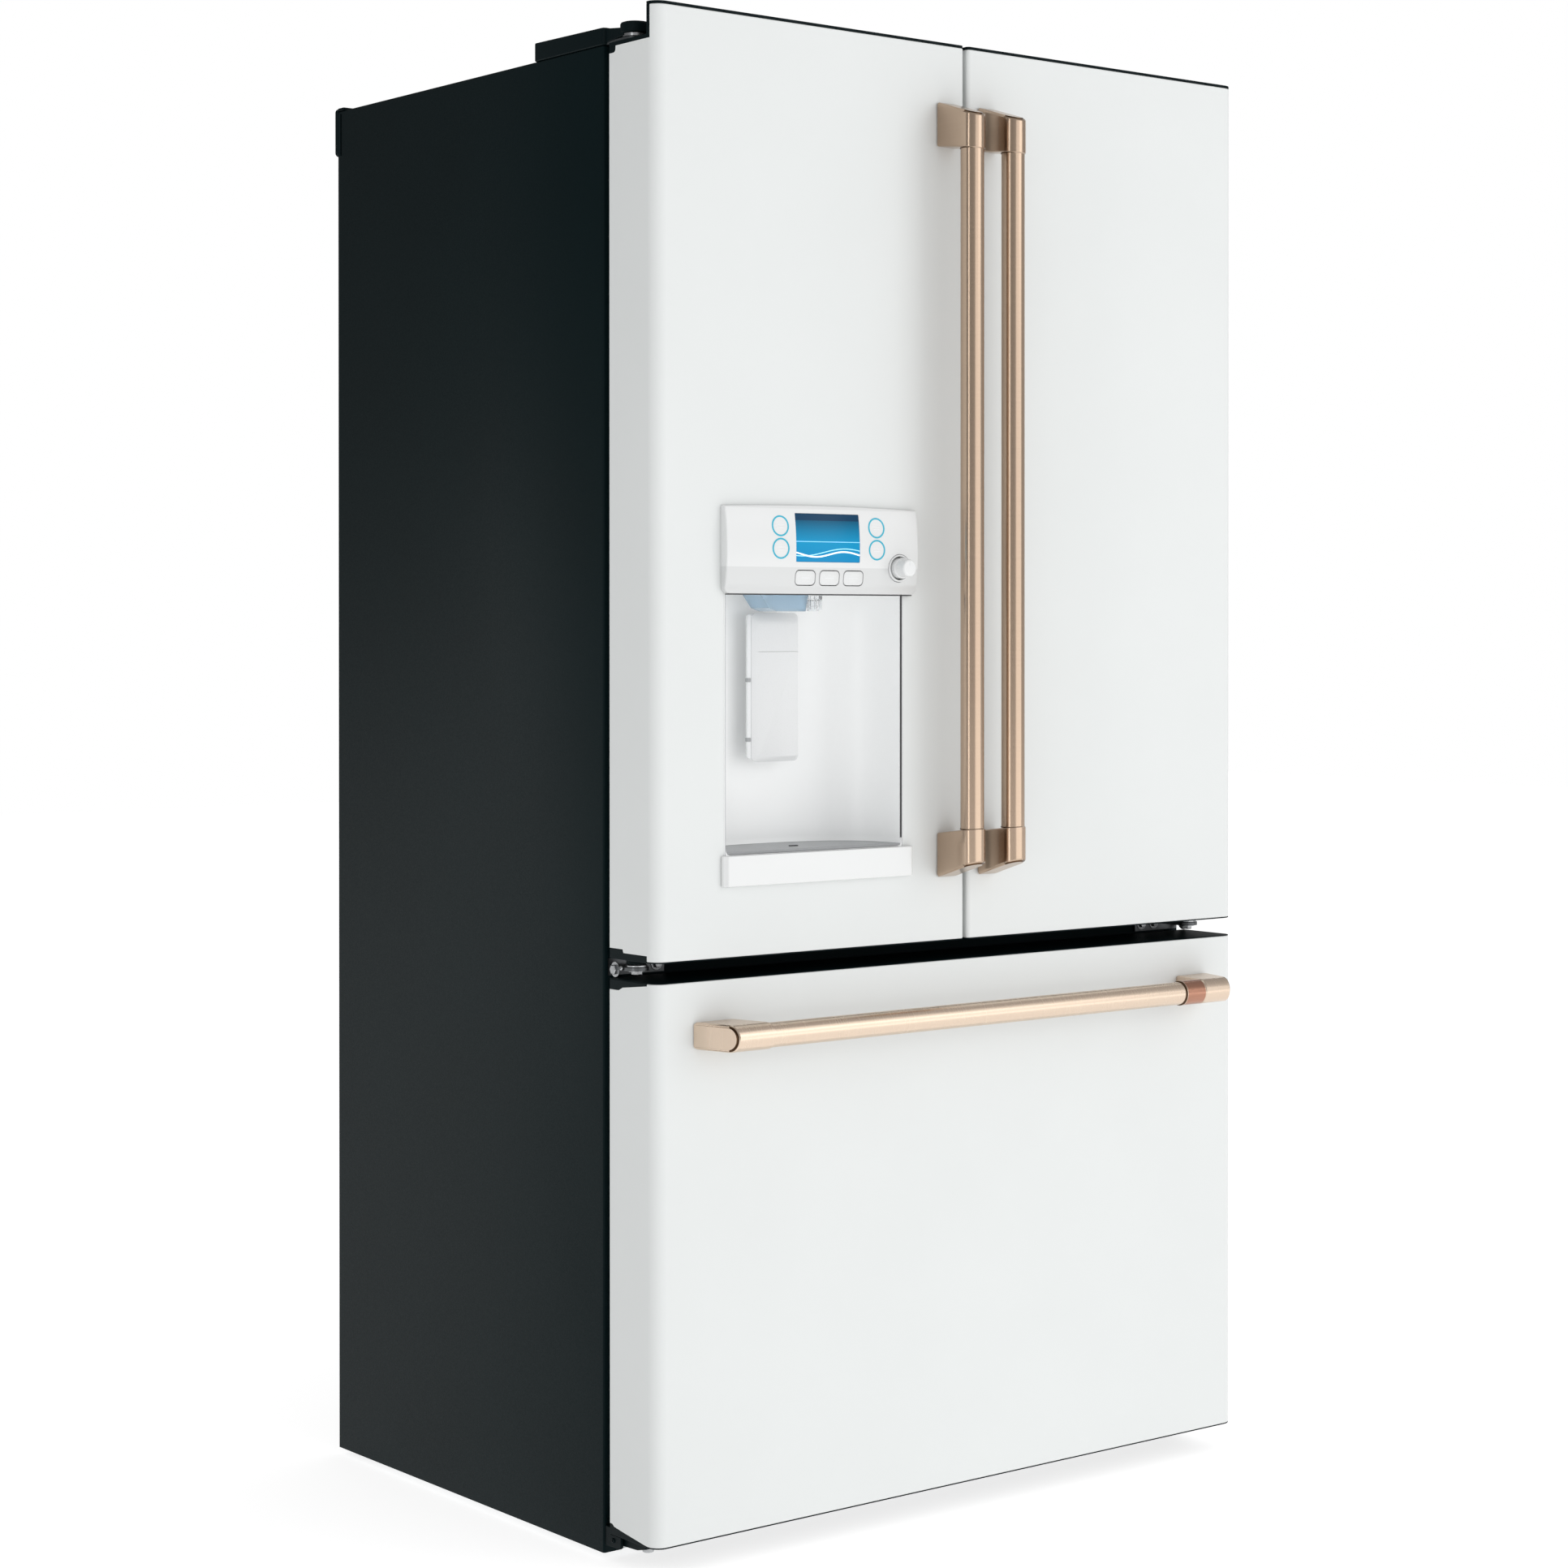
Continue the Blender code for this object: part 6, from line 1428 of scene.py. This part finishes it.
def sill():
    """Ledge under the recess: bowed a little, chamfered at its ends."""
    low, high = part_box("dispenser_sill")
    left, right = low.x, high.x
    proud = high.y - low.y
    outline = [(left, high.y), (left, high.y - proud * 0.45), (left + 0.0045, high.y - proud * 0.92)]
    steps = 16
    for step in range(steps + 1):
        share = step / steps
        x = left + 0.0065 + (right - left - 0.013) * share
        outline.append((x, low.y + 0.0006 * (2 * share - 1) ** 2))
    outline += [(right - 0.0045, high.y - proud * 0.92), (right, high.y - proud * 0.45), (right, high.y)]
    piece("sill_block", prism(outline, "Z", low.z, high.z), GLOSS_WHITE, "left_door", 0.0012,
          3, sharp=20, stands_for=["dispenser_sill"])


def left_door():
    body = "left_door"
    window = box((WELL_X - WELL_HALF - 0.0023, FRONT - 0.02, WELL_BOTTOM - 0.0023),
                 (WELL_X + WELL_HALF + 0.0023, FRONT + 0.02, WELL_TOP + 0.0023))
    cutters = [lining_room(-1, 0.0002), tab_room(-1), stepped_room(-1, DOOR_BOTTOM), window]
    front_skin("left_skin", -1, DOOR_BOTTOM + CAP_LOW, HEIGHT - CAP_TOP, body, cutters, "left_door_skin")
    door_caps(-1, body)
    door_liner(-1, body, "left_door_core")
    gasket("left_gasket", "left_door_gasket", body)
    door_handle(-1)
    well()
    fascia()
    screen()
    touch_rings()
    keys()
    dial()
    chute()
    paddle()
    tray()
    sill()
    dress("mullion_flap", FLAP_GREY, 0.0015)
    ears = []
    low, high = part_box("mullion_flap")
    for level, direction in ((low.z + 0.008, -1), (high.z - 0.008, 1)):
        start, end = sorted((level + direction * 0.001, level + direction * 0.012))
        ears.append(box((-0.058, DOOR_BACK - 0.0002, start), (-0.046, low.y + 0.015, end)))
    piece("flap_ears", join(*ears), FLAP_GREY, body, 0.0006)


def right_door():
    body = "right_door"
    front_skin("right_skin", 1, DOOR_BOTTOM + CAP_LOW, HEIGHT - CAP_TOP, body,
               [lining_room(1, 0.0002), tab_room(1), stepped_room(1, DOOR_BOTTOM)],
               "right_door_skin")
    door_caps(1, body)
    door_liner(1, body, "right_door_core")
    gasket("right_gasket", "right_door_gasket", body)
    door_handle(1)


def drawer_foot(grow, base, behind):
    """Side view of the black cap along the drawer's bottom: a small step, then a long slope."""
    return [(DOOR_BACK + behind, base), (DOOR_BACK + behind, DRAWER_BOTTOM + 0.0127 + grow),
            (DOOR_BACK - 0.0045, DRAWER_BOTTOM + 0.0127 + grow),
            (DOOR_BACK - 0.0085, DRAWER_BOTTOM + 0.0100 + grow),
            (DOOR_BACK - 0.0240, DRAWER_BOTTOM + 0.0078 + grow),
            (DOOR_BACK - 0.0770, DRAWER_BOTTOM + CAP_LOW + grow), (DOOR_BACK - 0.0770, base)]


def drawer():
    body = "freezer_drawer"
    left, right = -HALF, HALF
    top_room = prism(drawer_step(0.0002, DRAWER_TOP + 0.01, 0.02), "X", left - 0.01, right + 0.01)
    low_profile = drawer_foot(0.0002, DRAWER_BOTTOM - 0.01, 0.02)
    low_room = prism(low_profile, "X", left - 0.01, right + 0.01)
    front_skin("drawer_front_skin", 0, DRAWER_BOTTOM + CAP_LOW, DRAWER_TOP - DRAWER_CAP_TOP, body,
               [top_room, low_room], "drawer_skin")
    top = cap_above(0, DRAWER_TOP - DRAWER_CAP_TOP + 0.0001, DRAWER_TOP)
    piece("drawer_top_cap", top, CAP_BLACK, body, 0.0002, sharp=28)
    bottom = cap_below(0, DRAWER_BOTTOM, DRAWER_BOTTOM + CAP_LOW - 0.0001)
    piece("drawer_bottom_cap", bottom, CAP_BLACK, body, 0.0002, sharp=28)
    strip_top = prism(drawer_step(0.0, DRAWER_TOP - DRAWER_CAP_TOP, 0.0), "X", left, right)
    piece("drawer_top_rear_cap", strip_top, CAP_BLACK, body, 0.0005)
    strip_low = drawer_foot(0.0, DRAWER_BOTTOM + CAP_LOW - 0.0004, 0.0)
    piece("drawer_low_rear_cap", prism(strip_low, "X", left, right), CAP_BLACK, body, 0.0005)
    panel = inner_panel(0, DRAWER_BOTTOM + DRAWER_REAR_CAP + 0.0003, DRAWER_TOP - DRAWER_REAR_CAP - 0.0003)
    piece("drawer_inner_panel", panel, LINER_WHITE, body, 0.0005, stands_for=["drawer_core"])
    gasket("drawer_seal", "drawer_gasket", body)
    drawer_handle()


# ---------------------------------------------------------------- stage, light and camera

def floor():
    plane = bmesh.new()
    size = 14.0
    plane.faces.new([plane.verts.new((x * size, y * size, 0.0)) for x,
                     y in ((-1, -1), (1, -1), (1, 1), (-1, 1))])
    obj = shape(plane, "floor")
    obj.data.materials.append(FLOOR_WHITE)


def soft_light(name, place, target, width, height, power):
    data = bpy.data.lights.new(name, "AREA")
    data.shape = "RECTANGLE"
    data.size = width
    data.size_y = height
    data.energy = power
    obj = bpy.data.objects.new(name, data)
    obj.location = place
    obj.rotation_euler = (Vector(target) - Vector(place)).to_track_quat("-Z", "Y").to_euler()
    bpy.context.scene.collection.objects.link(obj)


def studio():
    """White surroundings for the camera; the light itself is weaker from the left."""
    world = bpy.data.worlds.new("studio")
    world.use_nodes = True
    bpy.context.scene.world = world
    tree = world.node_tree
    shade = tree.nodes["Background"]
    place = add_node(tree, "ShaderNodeTexCoord")
    direction = add_node(tree, "ShaderNodeVectorMath", operation="DOT_PRODUCT")
    link(tree, place.outputs["Generated"], direction.inputs[0])
    direction.inputs[1].default_value = (0.50, -0.80, 0.33)
    ramp = add_node(tree, "ShaderNodeMapRange", From_Min=-1.0, From_Max=1.0, To_Min=0.20, To_Max=0.74)
    link(tree, direction.outputs["Value"], ramp.inputs["Value"])
    path = add_node(tree, "ShaderNodeLightPath")
    seen = maths(tree, "MAXIMUM", path.outputs["Is Camera Ray"], ramp.outputs["Result"])
    glossy = maths(tree, "MULTIPLY_ADD", path.outputs["Is Glossy Ray"], -0.25, 1.0)
    link(tree, maths(tree, "MULTIPLY", seen, glossy), shade.inputs["Strength"])
    shade.inputs["Color"].default_value = (1.0, 1.0, 1.0, 1.0)
    soft_light("key", (2.6, -4.2, 3.4), (0.0, 0.0, 0.9), 2.6, 2.6, 19)
    soft_light("wall_right", (1.15, -3.9, 1.25), (0.0, -0.35, 1.1), 4.3, 2.6, 34)
    soft_light("strip_left", (-3.25, -1.35, 1.3), (0.0, -0.35, 1.1), 0.36, 2.8, 10.5)


def camera():
    """Viewpoint a little to the left of the machine, almost level, with a long lens."""
    data = bpy.data.cameras.new("camera")
    data.lens = 73.29
    data.sensor_width = 36.0
    data.shift_x = -0.121
    data.shift_y = -0.09
    data.clip_end = 60.0
    obj = bpy.data.objects.new("camera", data)
    forward = Vector((0.64261, 0.76618, -0.00548)).normalized()
    right = Vector((0.76619, -0.64262, 0.00014)).normalized()
    up = right.cross(forward)
    turn = Matrix((right, up, -forward)).transposed()
    obj.matrix_world = Matrix.Translation((-2.4800, -3.3046, 1.0733)) @ turn.to_4x4()
    bpy.context.scene.collection.objects.link(obj)
    bpy.context.scene.camera = obj
    bpy.context.scene.view_settings.view_transform = "Standard"


def keep_sizes():
    bpy.context.view_layer.update()


case_shell()
back_sheet()
machine_details()
for side in (-1, 1):
    corner_cap(side)
    hinge_cover(side)
    middle_hinge(side)
base_details()
fresh_room()
freezer_room()
shelves()
cooling()
left_door()
right_door()
drawer()
floor()
studio()
camera()
keep_sizes()
